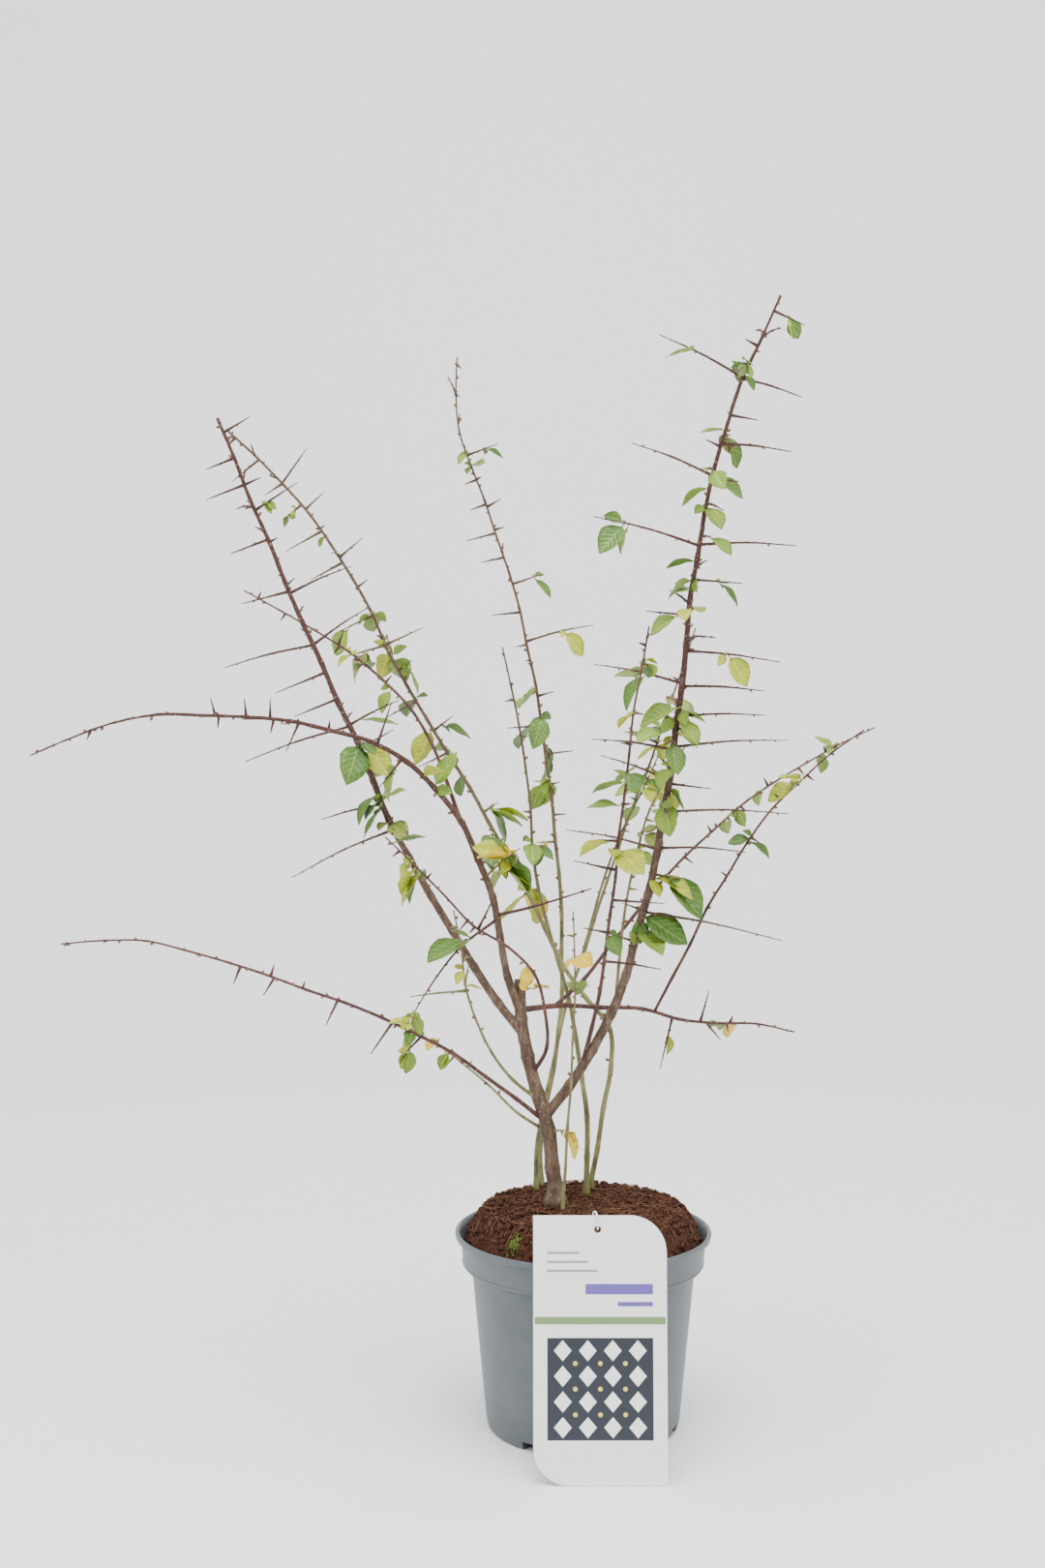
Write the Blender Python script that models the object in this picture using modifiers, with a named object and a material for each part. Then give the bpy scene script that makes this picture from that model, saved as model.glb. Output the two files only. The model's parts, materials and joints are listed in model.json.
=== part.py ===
"""Potted blackthorn: a young thorny shrub in a round nursery pot with its picture label.

The frame is in metres with +Z up. The origin is the middle of the flat pad under the pot.
The photographed side faces -Y. Every stem is a smooth way from its root to its tip, with
even nodes along it. The lower stretch of a stem is a bare bough. Its upper stretch is a
crown mass: the stem goes on, and spurs, thorns and leaves are fused to it.
"""

import math
import random
from collections import namedtuple

import bmesh
import bpy
import numpy as np
from mathutils import Matrix, Vector

# Driving dimensions

MM = 0.001
GAP = 0.0003

POT_HEIGHT = 0.1435
POT_RIM_RADIUS = 0.0930
POT_BAND_RADIUS = 0.0885
POT_BODY_TOP_RADIUS = 0.0800
POT_BASE_RADIUS = 0.0702
POT_BAND_DROP = 0.025
POT_LIP_DROP = 0.0048
POT_WALL = 0.0015
POT_FLOOR = 0.0040
POT_FOOT_INNER = 0.052
POT_PAD_RADIUS = 0.032
POT_RECESS = 0.0020
POT_STEPS = 30

DRAIN_COUNT = 7
DRAIN_FIRST_DEG = -34.5
DRAIN_WIDTH = 0.011
DRAIN_HEIGHT = 0.0065
DRAIN_DEPTH = 0.013

SOIL_TOP = 0.160
SOIL_PLATEAU = 0.070
SOIL_EDGE = 0.137

LABEL_WIDTH = 0.091
LABEL_LENGTH = 0.180
LABEL_THICKNESS = 0.0005
LABEL_CORNER = 0.025
LABEL_LEAN = math.radians(9.0)
LABEL_X = 0.0087
LABEL_HOLE_RADIUS = 0.0024
LABEL_HOLE_DOWN = 0.0095
LABEL_HOLE_LEFT = 0.044
TIE_RADIUS = 0.0006

SEED = 31
NODE_SPACING = 0.030
KINK = 0.022
COLLAR = 1.15
ROOT_SHARE = 0.8
TWIG_CLEARANCE = 0.0012
SPUR_LEAN = math.radians(80)
SPUR_BASE = 0.00095
SPUR_TIP = 0.00030
SPUR_DROOP = 0.10
DEPTH_SPUR_SHARE = 0.7
DEPTH_SHORTEST = 10
LEAF_WIDTH_SHARE = 0.56
LEAF_THICKNESS = 0.0008
LEAF_SUNK = 0.0018
TRUNK_FLARE = 1.55
CANE_FLARE = 1.25
FLARE_HEIGHT = 0.020
GOLDEN_ANGLE = math.radians(137.5)

# Stems: each way runs from root to tip in millimetres, and thick holds the root's and the
# tip's radius. A part is a name and the share of the length where it ends, and a name with
# crown in it is a mass. Left and right hold the lengths of the spurs at even places along
# the crown, seen looking at the plant. A leafy stretch is its start, its end, how many
# leaves it bears and their length.

Stem = namedtuple("Stem", "parent parts way thick left right leaves")

STEMS = {
    "trunk": Stem(
        None, (("trunk", 0.44), ("leader", 1.0)),
        ((-20, 3, 160.3), (-23, 2, 190), (-27, 0, 226), (-34, 0, 246), (-43, 0, 282), (-46, 2, 326)),
        (5.6, 4.1), (), (), ()),
    "right": Stem(
        "trunk", (("right_bough", 0.24), ("right_crown", 1.0)),
        ((-27, 0, 226), (-8, -2, 253), (15, -6, 292), (41, -16, 374), (64, -40, 515),
         (74, -56, 619), (97, -72, 726), (128, -82, 799)),
        (3.9, 0.9),
        (22, 15, 0, 64, 0, 53, 61, 0, 68, 0, 27, 0, 80, 0, 64, 11, 0, 64, 9, 0),
        (16, 92, 17, 60, 94, 26, 78, 59, 54, 65, 0, 32, 65, 0, 17, 45, 17, 42, 0, 22),
        ((0.0, 0.14, 4, 36), (0.12, 0.45, 17, 27), (0.45, 0.72, 13, 26), (0.72, 0.86, 4, 22),
         (0.86, 1.0, 9, 13))),
    "left": Stem(
        "trunk", (("left_bough", 0.36), ("left_crown", 1.0)),
        ((-43, 0, 286), (-73, -2, 326), (-105, -4, 380), (-128, -6, 419), (-163, -12, 501),
         (-193, -18, 569), (-256, -30, 724)),
        (3.2, 1.1),
        (84, 42, 0, 0, 80, 30, 36, 66, 0, 31, 0, 29, 0, 28, 20, 0),
        (0, 0, 0, 27, 42, 0, 0, 48, 0, 50, 0, 6, 38, 12, 0, 21),
        ((0.0, 0.10, 3, 24), (0.05, 0.34, 6, 34), (0.8, 0.95, 2, 9))),
    "arch": Stem(
        "trunk", (("arching_bough", 0.36), ("arching_crown", 1.0)),
        ((-45, 0, 302), (-54, -7, 328), (-68, -12, 395), (-91, -22, 447), (-131, -40, 490),
         (-178, -58, 509), (-245, -84, 519), (-309, -104, 517), (-368, -120, 494)),
        (3.0, 0.55),
        (37, 0, 23, 0, 0, 0, 18, 8, 0, 7, 0, 0, 0, 0, 0, 0),
        (0, 0, 0, 33, 0, 6, 0, 15, 13, 13, 0, 0, 0, 0, 0, 0),
        ((0.0, 0.12, 3, 26),)),
    "cross": Stem(
        "arch", (("cross_bough", 0.42), ("cross_crown", 1.0)),
        ((-89, -21, 442), (-104, -12, 487), (-127, -2, 525), (-177, 10, 567), (-245, 20, 606)),
        (1.5, 0.6),
        (0, 6, 6, 0, 5, 0),
        (7, 0, 12, 0, 0, 6),
        ((0.0, 0.5, 3, 16),)),
    "back": Stem(
        None, (("back_cane_foot", 0.185), ("back_cane", 0.36), ("back_crown", 1.0)),
        ((7, 47, 160.3), (13, 50, 198), (22, 57, 262), (20, 60, 287), (-3, 63, 308),
         (-24, 67, 349), (-49, 71, 397), (-90, 78, 469), (-131, 85, 535), (-176, 94, 623),
         (-222, 102, 685), (-270, 110, 731)),
        (2.1, 0.9),
        (0, 0, 9, 0, 0, 21, 0, 25, 0, 27, 26, 0, 25, 28, 15, 14, 25, 8),
        (0, 0, 0, 14, 0, 0, 19, 0, 13, 32, 0, 10, 25, 0, 21, 34, 0, 0),
        ((0.0, 0.14, 6, 32), (0.14, 0.34, 4, 30), (0.34, 0.66, 12, 26), (0.7, 0.95, 4, 10))),
    "slim": Stem(
        None, (("slim_cane", 0.62), ("slim_crown", 1.0)),
        ((3, 30, 160.3), (4, 28, 199), (-3, 24, 269), (-16, 18, 331), (-31, 9, 382),
         (-37, 0, 425), (-41, -12, 476), (-58, -38, 565)),
        (2.3, 0.6),
        (0, 5, 0, 0, 6, 0),
        (9, 0, 0, 5, 0, 0),
        ((0.0, 0.15, 3, 24),)),
    "middle": Stem(
        None, (("middle_cane", 0.38), ("middle_crown", 1.0)),
        ((-30, 56, 160.3), (-30, 64, 197), (-18, 76, 260), (-14, 88, 350), (-20, 98, 431),
         (-31, 108, 516), (-49, 120, 604), (-78, 133, 691), (-95, 141, 741), (-95, 148, 791)),
        (2.1, 0.6),
        (13, 0, 11, 0, 27, 0, 0, 8, 22, 0, 16, 22, 12, 9, 0, 0, 0, 0),
        (0, 9, 7, 21, 0, 14, 0, 56, 0, 26, 0, 8, 12, 4, 25, 0, 0, 0),
        ((0.0, 0.16, 3, 22), (0.16, 0.36, 4, 34), (0.48, 0.56, 2, 26), (0.75, 0.84, 4, 14))),
    "green": Stem(
        None, (("green_cane", 0.6), ("green_crown", 1.0)),
        ((-34, 44, 160.3), (-33, 52, 198), (-27, 60, 224), (-12, 70, 291), (9, 82, 353),
         (31, 92, 419), (55, 100, 482), (89, 116, 580)),
        (1.8, 0.6),
        (6, 0, 8, 0, 5, 0),
        (0, 5, 0, 6, 0, 4),
        ((0.2, 0.95, 7, 24),)),
    "twin": Stem(
        "green", (("twin_cane", 0.5), ("twin_crown", 1.0)),
        ((-5, 75, 316), (6, 68, 350), (18, 62, 397), (34, 55, 436), (56, 50, 484)),
        (1.3, 0.55),
        (0, 6, 0),
        (5, 0, 5),
        ((0.3, 1.0, 4, 24),)),
    "sucker": Stem(
        None, (("sucker", 0.7), ("sucker_crown", 1.0)),
        ((-15, -12, 160.3), (-13, -14, 196), (-10, -17, 252), (-7, -18, 306), (-8, -18, 378)),
        (1.25, 0.5),
        (0, 5),
        (4, 0),
        ((0.3, 0.8, 2, 22),)),
    "inner": Stem(
        "right", (("inner_shoot", 0.26), ("inner_crown", 1.0)),
        ((-1, -3, 264), (6, -12, 294), (15, -34, 356), (21, -54, 417), (26, -70, 469),
         (31, -86, 522), (40, -100, 579)),
        (1.6, 0.6),
        (0, 17, 0, 29, 13, 0, 0, 6, 0, 0, 5),
        (42, 0, 35, 0, 0, 5, 0, 0, 7, 0, 0),
        ((0.0, 0.2, 1, 18), (0.3, 0.6, 5, 30), (0.6, 0.95, 5, 18))),
    "outer": Stem(
        "right", (("outer_shoot", 0.34), ("outer_crown", 1.0)),
        ((22, -8, 312), (25, 2, 337), (32, 18, 381), (42, 30, 425), (57, 40, 461), (76, 48, 492)),
        (1.3, 0.6),
        (0, 5, 0, 6, 0),
        (6, 0, 5, 0, 0),
        ((0.2, 0.9, 3, 22),)),
    "level": Stem(
        "trunk", (("level_bough", 0.54), ("level_crown", 1.0)),
        ((-44, 1, 304), (-20, 6, 306), (25, 16, 302), (52, 21, 301), (87, 28, 287),
         (107, 32, 290), (158, 42, 280)),
        (2.1, 0.6),
        (0, 24, 6, 0, 0),
        (37, 0, 5, 0, 0),
        ((0.0, 0.1, 1, 20), (0.35, 0.6, 3, 22))),
    "rising": Stem(
        "level", (("rising_bough", 0.42), ("rising_crown", 1.0)),
        ((-21, 6, 306), (4, 20, 327), (33, 36, 362), (76, 58, 408), (143, 84, 461),
         (184, 95, 484), (226, 105, 504)),
        (1.6, 0.55),
        (0, 6, 0, 8, 0, 5, 0),
        (7, 0, 5, 0, 6, 0, 0),
        ((0.1, 0.5, 3, 18), (0.75, 0.95, 3, 20))),
    "side": Stem(
        "level", (("side_bough", 0.42), ("side_crown", 1.0)),
        ((53, 21, 301), (70, 14, 335), (97, -1, 392), (135, -22, 454), (161, -34, 482),
         (192, -50, 508)),
        (1.3, 0.55),
        (5, 0, 7, 0, 0),
        (0, 6, 0, 5, 0),
        ((0.0, 0.5, 2, 20), (0.6, 0.95, 3, 22))),
    "low": Stem(
        "trunk", (("low_bough", 0.27), ("low_crown", 1.0)),
        ((-27, 0, 222), (-54, -8, 245), (-110, -22, 286), (-151, -31, 307), (-217, -44, 334),
         (-266, -53, 352), (-319, -62, 364), (-361, -70, 362)),
        (1.6, 0.55),
        (22, 25, 0, 17, 0, 13, 11, 0, 0, 0, 0, 0),
        (0, 0, 0, 0, 5, 9, 0, 0, 0, 0, 0, 0),
        ((0.0, 0.1, 5, 16),)),
    "low_twig": Stem(
        "trunk", (("low_twig", 0.6), ("low_twig_crown", 1.0)),
        ((-27, 1, 214), (-42, 8, 223), (-75, 24, 249), (-112, 38, 276)),
        (1.3, 0.6),
        (0, 5, 0),
        (6, 0, 4),
        ((0.5, 1.0, 3, 13),)),
    "knuckle": Stem(
        "trunk", (("green_twig", 0.58), ("green_twig_crown", 1.0)),
        ((-31, 0, 238), (-43, -6, 246), (-63, -18, 272), (-82, -34, 318), (-86, -40, 335),
         (-87, -46, 360), (-92, -52, 383)),
        (1.4, 0.55),
        (40, 0, 5),
        (0, 6, 0),
        ((0.0, 0.4, 2, 14),)),
    "hooked": Stem(
        "trunk", (("hooked_twig", 0.42), ("hooked_crown", 1.0)),
        ((-38, 0, 257), (-29, -10, 268), (-26, -17, 290), (-31, -27, 318), (-42, -34, 347),
         (-73, -39, 365), (-105, -40, 399), (-140, -40, 433)),
        (1.5, 0.55),
        (0, 5, 0, 0, 6),
        (0, 28, 0, 5, 0),
        ((0.7, 1.0, 5, 26),)),
    "drooping": Stem(
        "arch", (("drooping_twig", 0.3), ("drooping_crown", 1.0)),
        ((-64, -9, 371), (-90, -26, 351), (-114, -46, 321), (-124, -56, 304)),
        (1.1, 0.4),
        (0, 0),
        (0, 0),
        ((0.0, 0.1, 1, 38), (0.8, 1.0, 3, 14))),
    "reaching": Stem(
        "arch", (("reaching_twig", 1.0),),
        ((-64, -9, 374), (-39, -20, 381), (4, -42, 397)),
        (1.2, 0.45), (), (), ()),
    "arch_sprig": Stem(
        "arch", (("arch_sprig_crown", 1.0),),
        ((-70, -12, 402), (-60, -22, 412), (-46, -30, 424)),
        (1.0, 0.5),
        (8, 0),
        (0, 9),
        ((0.3, 1.0, 6, 32),)),
    "fork_sprig": Stem(
        "trunk", (("fork_sprig_crown", 1.0),),
        ((-25, 1, 214), (-17, -8, 218), (-8, -13, 217)),
        (0.9, 0.45),
        (0,),
        (3,),
        ((0.6, 0.8, 1, 31), (0.7, 1.0, 1, 12))),
    "leader_sprig": Stem(
        "trunk", (("leader_sprig_crown", 1.0),),
        ((-46, 1, 318), (-40, -9, 322), (-35, -16, 322)),
        (0.8, 0.4),
        (0,),
        (0,),
        ((0.5, 1.0, 2, 18),)),
}

WARM_BARK = (0.150, 0.092, 0.062)
RED_BARK = (0.120, 0.035, 0.028)
GREEN_BARK = (0.200, 0.235, 0.060)
LEAF_GREEN = (0.190, 0.300, 0.050)
POT_GREY = (0.135, 0.155, 0.170)
SOIL_BROWN = (0.085, 0.032, 0.018)
LABEL_WHITE = (0.800, 0.800, 0.780)
BARK_BY_PART = {
    "trunk": WARM_BARK, "leader": WARM_BARK, "right_bough": WARM_BARK, "left_bough": WARM_BARK,
    "arching_bough": WARM_BARK, "level_bough": RED_BARK, "rising_bough": RED_BARK,
    "side_bough": RED_BARK, "inner_shoot": RED_BARK, "reaching_twig": RED_BARK,
    "drooping_twig": RED_BARK, "cross_bough": RED_BARK,
}


# Scene and finishes

def clear_scene():
    for scene_object in list(bpy.data.objects):
        bpy.data.objects.remove(scene_object, do_unlink=True)


def new_collection(name):
    collection = bpy.data.collections.new(name)
    bpy.context.scene.collection.children.link(collection)
    return collection


def finish(piece, colour, roughness):
    material = bpy.data.materials.new(piece.name + "_finish")
    material.use_nodes = True
    shader = material.node_tree.nodes["Principled BSDF"]
    shader.inputs["Base Color"].default_value = (*colour, 1.0)
    shader.inputs["Roughness"].default_value = roughness
    shader.inputs["Metallic"].default_value = 0.0
    piece.data.materials.clear()
    piece.data.materials.append(material)


def mesh_object(name, bm, collection):
    mesh = bpy.data.meshes.new(name)
    bm.to_mesh(mesh)
    bm.free()
    piece = bpy.data.objects.new(name, mesh)
    collection.objects.link(piece)
    return piece


def as_mesh(curve_object, collection):
    """The curve's evaluated shape as one welded mesh that faces out."""
    bpy.context.view_layer.update()
    depsgraph = bpy.context.evaluated_depsgraph_get()
    mesh = bpy.data.meshes.new_from_object(curve_object.evaluated_get(depsgraph))
    name = curve_object.name
    place = curve_object.matrix_world.copy()
    bpy.data.objects.remove(curve_object, do_unlink=True)
    bm = bmesh.new()
    bm.from_mesh(mesh)
    bpy.data.meshes.remove(mesh)
    bmesh.ops.remove_doubles(bm, verts=bm.verts, dist=1e-6)
    bmesh.ops.recalc_face_normals(bm, faces=bm.faces)
    bmesh.ops.transform(bm, matrix=place, verts=bm.verts)
    return mesh_object(name, bm, collection)


def cut(piece, cutter):
    cutter.hide_render = True
    cutter.display_type = "WIRE"
    boolean = piece.modifiers.new("Clearance from " + cutter.name, "BOOLEAN")
    boolean.operation = "DIFFERENCE"
    boolean.solver = "EXACT"
    boolean.object = cutter


def smooth(piece, degrees):
    piece.data.shade_smooth()
    piece.data.set_sharp_from_angle(angle=math.radians(degrees))


# Pot, soil and label

def turned(name, profile, collection):
    """A closed solid of revolution from a profile that runs from the axis, up the inner
    side, and down the outer side back to the axis."""
    bm = bmesh.new()
    points = [bm.verts.new((radius, 0.0, height)) for radius, height in profile]
    for start, end in zip(points, points[1:]):
        bm.edges.new((start, end))
    piece = mesh_object(name, bm, collection)
    screw = piece.modifiers.new("Turn", "SCREW")
    screw.angle = math.tau
    screw.steps = POT_STEPS
    screw.render_steps = POT_STEPS
    screw.use_merge_vertices = True
    screw.merge_threshold = 1e-5
    return piece


def make_pot(parts, cutters):
    lip = POT_HEIGHT - POT_LIP_DROP
    band = POT_HEIGHT - POT_BAND_DROP
    inside = (
        (0.0, POT_FLOOR),
        (POT_BASE_RADIUS - POT_WALL - 0.0015, POT_FLOOR),
        (POT_BASE_RADIUS - POT_WALL, POT_FLOOR + 0.003),
        (POT_BODY_TOP_RADIUS - POT_WALL, band - 0.001),
        (POT_BAND_RADIUS - POT_WALL - 0.0020, band + 0.001),
        (POT_BAND_RADIUS - POT_WALL, lip - 0.001),
        (POT_RIM_RADIUS - 0.0028, POT_HEIGHT - 0.0006),
    )
    outside = (
        (POT_RIM_RADIUS - 0.0018, POT_HEIGHT),
        (POT_RIM_RADIUS - 0.0006, POT_HEIGHT - 0.0003),
        (POT_RIM_RADIUS, POT_HEIGHT - 0.0014),
        (POT_RIM_RADIUS - 0.0008, lip),
        (POT_BAND_RADIUS + 0.0004, lip - 0.0012),
        (POT_BAND_RADIUS - 0.0014, band + 0.001),
        (POT_BAND_RADIUS - 0.0024, band),
        (POT_BODY_TOP_RADIUS + 0.0010, band - 0.002),
        (POT_BASE_RADIUS + 0.0004, 0.006),
        (POT_BASE_RADIUS - 0.0010, 0.0015),
        (POT_BASE_RADIUS - 0.0030, 0.0),
        (POT_FOOT_INNER, 0.0),
        (POT_FOOT_INNER - 0.0015, POT_RECESS),
        (POT_PAD_RADIUS + 0.0015, POT_RECESS),
        (POT_PAD_RADIUS, 0.0),
        (0.0, 0.0),
    )
    pot = turned("pot", inside + outside, parts)
    finish(pot, POT_GREY, 0.45)

    bm = bmesh.new()
    for index in range(DRAIN_COUNT):
        turn = math.radians(DRAIN_FIRST_DEG - 90) + math.tau * index / DRAIN_COUNT
        notch = bmesh.ops.create_cube(bm, size=1.0)
        middle = POT_BASE_RADIUS + 0.004 - DRAIN_DEPTH / 2
        depth = DRAIN_DEPTH + 0.004
        size = Matrix.Diagonal((depth, DRAIN_WIDTH, 2 * DRAIN_HEIGHT, 1.0))
        place = Matrix.Rotation(turn, 4, "Z") @ Matrix.Translation((middle, 0.0, 0.0)) @ size
        bmesh.ops.transform(bm, matrix=place, verts=notch["verts"])
    notches = mesh_object("drain_notches", bm, cutters)
    cut(pot, notches)
    return pot


def make_soil(parts):
    wall = POT_WALL + GAP
    band = POT_HEIGHT - POT_BAND_DROP
    profile = (
        (0.0, SOIL_TOP),
        (SOIL_PLATEAU, SOIL_TOP),
        (SOIL_PLATEAU + 0.009, SOIL_TOP - 0.006),
        (POT_BAND_RADIUS - wall - 0.0022, SOIL_EDGE + 0.006),
        (POT_BAND_RADIUS - wall - 0.0008, SOIL_EDGE - 0.001),
        (POT_BAND_RADIUS - wall - 0.0030, band + 0.0018),
        (POT_BODY_TOP_RADIUS - wall - 0.0004, band + 0.0008),
        (POT_BASE_RADIUS - wall - 0.0002, POT_FLOOR + 0.004),
        (POT_BASE_RADIUS - wall - 0.0022, POT_FLOOR + GAP),
        (0.0, POT_FLOOR + GAP),
    )
    soil = turned("soil", profile, parts)
    finish(soil, SOIL_BROWN, 0.95)
    return soil


def arc(centre, radius, start_deg, end_deg, steps):
    angles = [math.radians(start_deg + (end_deg - start_deg) * i / steps) for i in range(steps + 1)]
    return [(centre[0] + radius * math.cos(a), centre[1] + radius * math.sin(a)) for a in angles]


def label_place():
    """The label's frame: x across, y up its face, z out of its front, at its foot's middle."""
    contact = POT_HEIGHT - 0.0003
    foot = -(POT_RIM_RADIUS + GAP + 0.0002 + contact * math.tan(LABEL_LEAN))
    foot -= LABEL_THICKNESS / 2
    stand = Matrix.Rotation(math.pi / 2 - LABEL_LEAN, 4, "X")
    return Matrix.Translation((LABEL_X, foot, GAP)) @ stand


def make_label(parts):
    half = LABEL_WIDTH / 2
    r = LABEL_CORNER
    outline = [(half, 0.0)]
    outline += arc((half - r, LABEL_LENGTH - r), r, 0, 90, 7)
    outline += [(-half, LABEL_LENGTH)]
    outline += arc((-half + r, r), r, 180, 270, 7)
    hole_centre = (-half + LABEL_HOLE_LEFT, LABEL_LENGTH - LABEL_HOLE_DOWN)
    hole = arc(hole_centre, LABEL_HOLE_RADIUS, 0, 330, 11)

    curve = bpy.data.curves.new("label", "CURVE")
    curve.dimensions = "2D"
    curve.fill_mode = "BOTH"
    curve.extrude = LABEL_THICKNESS / 2
    for ring in (outline, hole):
        spline = curve.splines.new("POLY")
        spline.points.add(len(ring) - 1)
        for point, (x, y) in zip(spline.points, ring):
            point.co = (x, y, 0.0, 1.0)
        spline.use_cyclic_u = True
    card = bpy.data.objects.new("label", curve)
    parts.objects.link(card)
    card.matrix_world = label_place()
    label = as_mesh(card, parts)
    finish(label, LABEL_WHITE, 0.35)
    return label


def make_label_tie(parts):
    """A thin plastic loop from the soil, over the label's top edge and into its hole."""
    place = label_place()
    x = -LABEL_WIDTH / 2 + LABEL_HOLE_LEFT
    top = LABEL_LENGTH
    off = LABEL_THICKNESS / 2 + TIE_RADIUS + 0.0005
    hole_y = top - LABEL_HOLE_DOWN
    on_label = (
        (x, hole_y, 0.0002), (x, hole_y + 0.0006, off), (x, top - 0.002, off + 0.0003),
        (x - 0.001, top + 0.0016, off - 0.0006), (x - 0.002, top + 0.0024, -0.0012),
        (x - 0.003, top + 0.0004, -off - 0.0012), (x - 0.004, top - 0.012, -off - 0.0022),
    )
    route = [place @ Vector(point) for point in on_label]
    foot = Vector((LABEL_X + x - 0.006, -(SOIL_PLATEAU + 0.006), SOIL_TOP - 0.003))
    route.append(foot)
    tie = tube("label_tie", route, [TIE_RADIUS] * len(route), 6, parts)
    finish(tie, LABEL_WHITE, 0.4)
    return tie


# Ways, nodes and limbs

def smooth_way(way, samples=12):
    """A smooth curve through the way points, by cubic pieces that share their slopes."""
    points = [Vector(point) * MM for point in way]
    spans = [(b - a).length for a, b in zip(points, points[1:])]
    slopes = []
    for i in range(len(points)):
        if i == 0:
            slopes.append((points[1] - points[0]) / spans[0])
        elif i == len(points) - 1:
            slopes.append((points[-1] - points[-2]) / spans[-1])
        else:
            before = (points[i] - points[i - 1]) / spans[i - 1]
            after = (points[i + 1] - points[i]) / spans[i]
            whole = spans[i - 1] + spans[i]
            slopes.append((before * spans[i] + after * spans[i - 1]) / whole)
    curve = []
    for i, span in enumerate(spans):
        for k in range(samples):
            t = k / samples
            a = 2 * t**3 - 3 * t**2 + 1
            b = (t**3 - 2 * t**2 + t) * span
            c = -2 * t**3 + 3 * t**2
            d = (t**3 - t**2) * span
            curve.append(points[i] * a + slopes[i] * b + points[i + 1] * c + slopes[i + 1] * d)
    curve.append(points[-1])
    return curve


class Limb:
    """A stem's nodes from root to tip, with the radius at each."""

    def __init__(self, points, radii):
        self.points = points
        self.radii = radii
        self.reach = [0.0]
        for a, b in zip(points, points[1:]):
            self.reach.append(self.reach[-1] + (b - a).length)
        self.length = self.reach[-1]

    def segment(self, share):
        distance = min(max(share, 0.0), 1.0) * self.length
        for i in range(len(self.points) - 1):
            if distance <= self.reach[i + 1]:
                break
        span = self.reach[i + 1] - self.reach[i]
        return i, (distance - self.reach[i]) / span

    def at(self, share):
        """The point, direction, left side, back side and radius at a share of the length."""
        i, t = self.segment(share)
        a, b = self.points[i], self.points[i + 1]
        along = (b - a).normalized()
        left = along.cross(Vector((0.0, 1.0, 0.0))).normalized()
        back = left.cross(along)
        radius = self.radii[i] * (1 - t) + self.radii[i + 1] * t
        return a.lerp(b, t), along, left, back, radius

    def nearest(self, point):
        """The point on the limb's middle line that is nearest to a given one, and the
        limb's radius there."""
        best, thickness = None, 0.0
        for i, (a, b) in enumerate(zip(self.points, self.points[1:])):
            line = b - a
            t = min(max((point - a).dot(line) / line.length_squared, 0.0), 1.0)
            spot = a.lerp(b, t)
            if best is None or (spot - point).length < (best - point).length:
                best = spot
                thickness = self.radii[i] * (1 - t) + self.radii[i + 1] * t
        return best, thickness


def make_limb(stem, parent, rng):
    """Even nodes along the stem's way, each a little off the line, as a real stem kinks."""
    way = list(stem.way)
    if parent is not None:
        root_spot, parent_radius = parent.nearest(Vector(way[0]) * MM)
        way[0] = tuple(root_spot / MM)
    curve = Limb(smooth_way(way), [0.0] * (12 * (len(way) - 1) + 1))
    count = max(2, round(curve.length / NODE_SPACING))
    turn = rng.uniform(0.0, math.tau)
    points, radii = [], []
    for i in range(count + 1):
        spot, along, left, back, radius = curve.at(i / count)
        if 0 < i < count:
            turn += GOLDEN_ANGLE
            off = KINK * NODE_SPACING * rng.uniform(0.5, 1.0)
            spot = spot + (left * math.cos(turn) + back * math.sin(turn)) * off
        points.append(spot)
        share = i / count
        root, tip = stem.thick
        radii.append((root + (tip - root) * share**0.9) * MM)
    if parent is not None:
        radii[0] = min(radii[0] * COLLAR, parent_radius * ROOT_SHARE)
    return Limb(points, radii)


def cut_share(limb, share):
    """The share of the length at the middle of the straight run that holds a given one."""
    if share in (0.0, 1.0):
        return share
    i, _ = limb.segment(share)
    return (limb.reach[i] + limb.reach[i + 1]) / 2 / limb.length


def stretch(limb, start, end):
    """The limb's nodes between two shares, with square cuts half a gap short of each."""
    points, radii = [], []
    if start > 0.0:
        spot, along, _, _, radius = limb.at(start)
        points.append(spot + along * GAP / 2)
        radii.append(radius)
    for point, radius, reach in zip(limb.points, limb.radii, limb.reach):
        if start * limb.length <= reach <= end * limb.length:
            points.append(point)
            radii.append(radius)
    if end < 1.0:
        spot, along, _, _, radius = limb.at(end)
        points.append(spot - along * GAP / 2)
        radii.append(radius)
    return points, radii


def tube(name, points, radii, sides, collection):
    """A tapering limb with closed ends: 3 sides, or 4, 6, 8 and so on."""
    curve = bpy.data.curves.new(name, "CURVE")
    curve.dimensions = "3D"
    curve.use_fill_caps = True
    curve.twist_mode = "MINIMUM"
    if sides == 3:
        curve.bevel_mode = "OBJECT"
        curve.bevel_object = triangle_section()
    else:
        curve.bevel_mode = "ROUND"
        curve.bevel_depth = 1.0
        curve.bevel_resolution = (sides - 4) // 2
    spline = curve.splines.new("POLY")
    spline.points.add(len(points) - 1)
    for point, place, radius in zip(spline.points, points, radii):
        point.co = (*place, 1.0)
        point.radius = radius
    limb = bpy.data.objects.new(name, curve)
    collection.objects.link(limb)
    return as_mesh(limb, collection)


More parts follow.
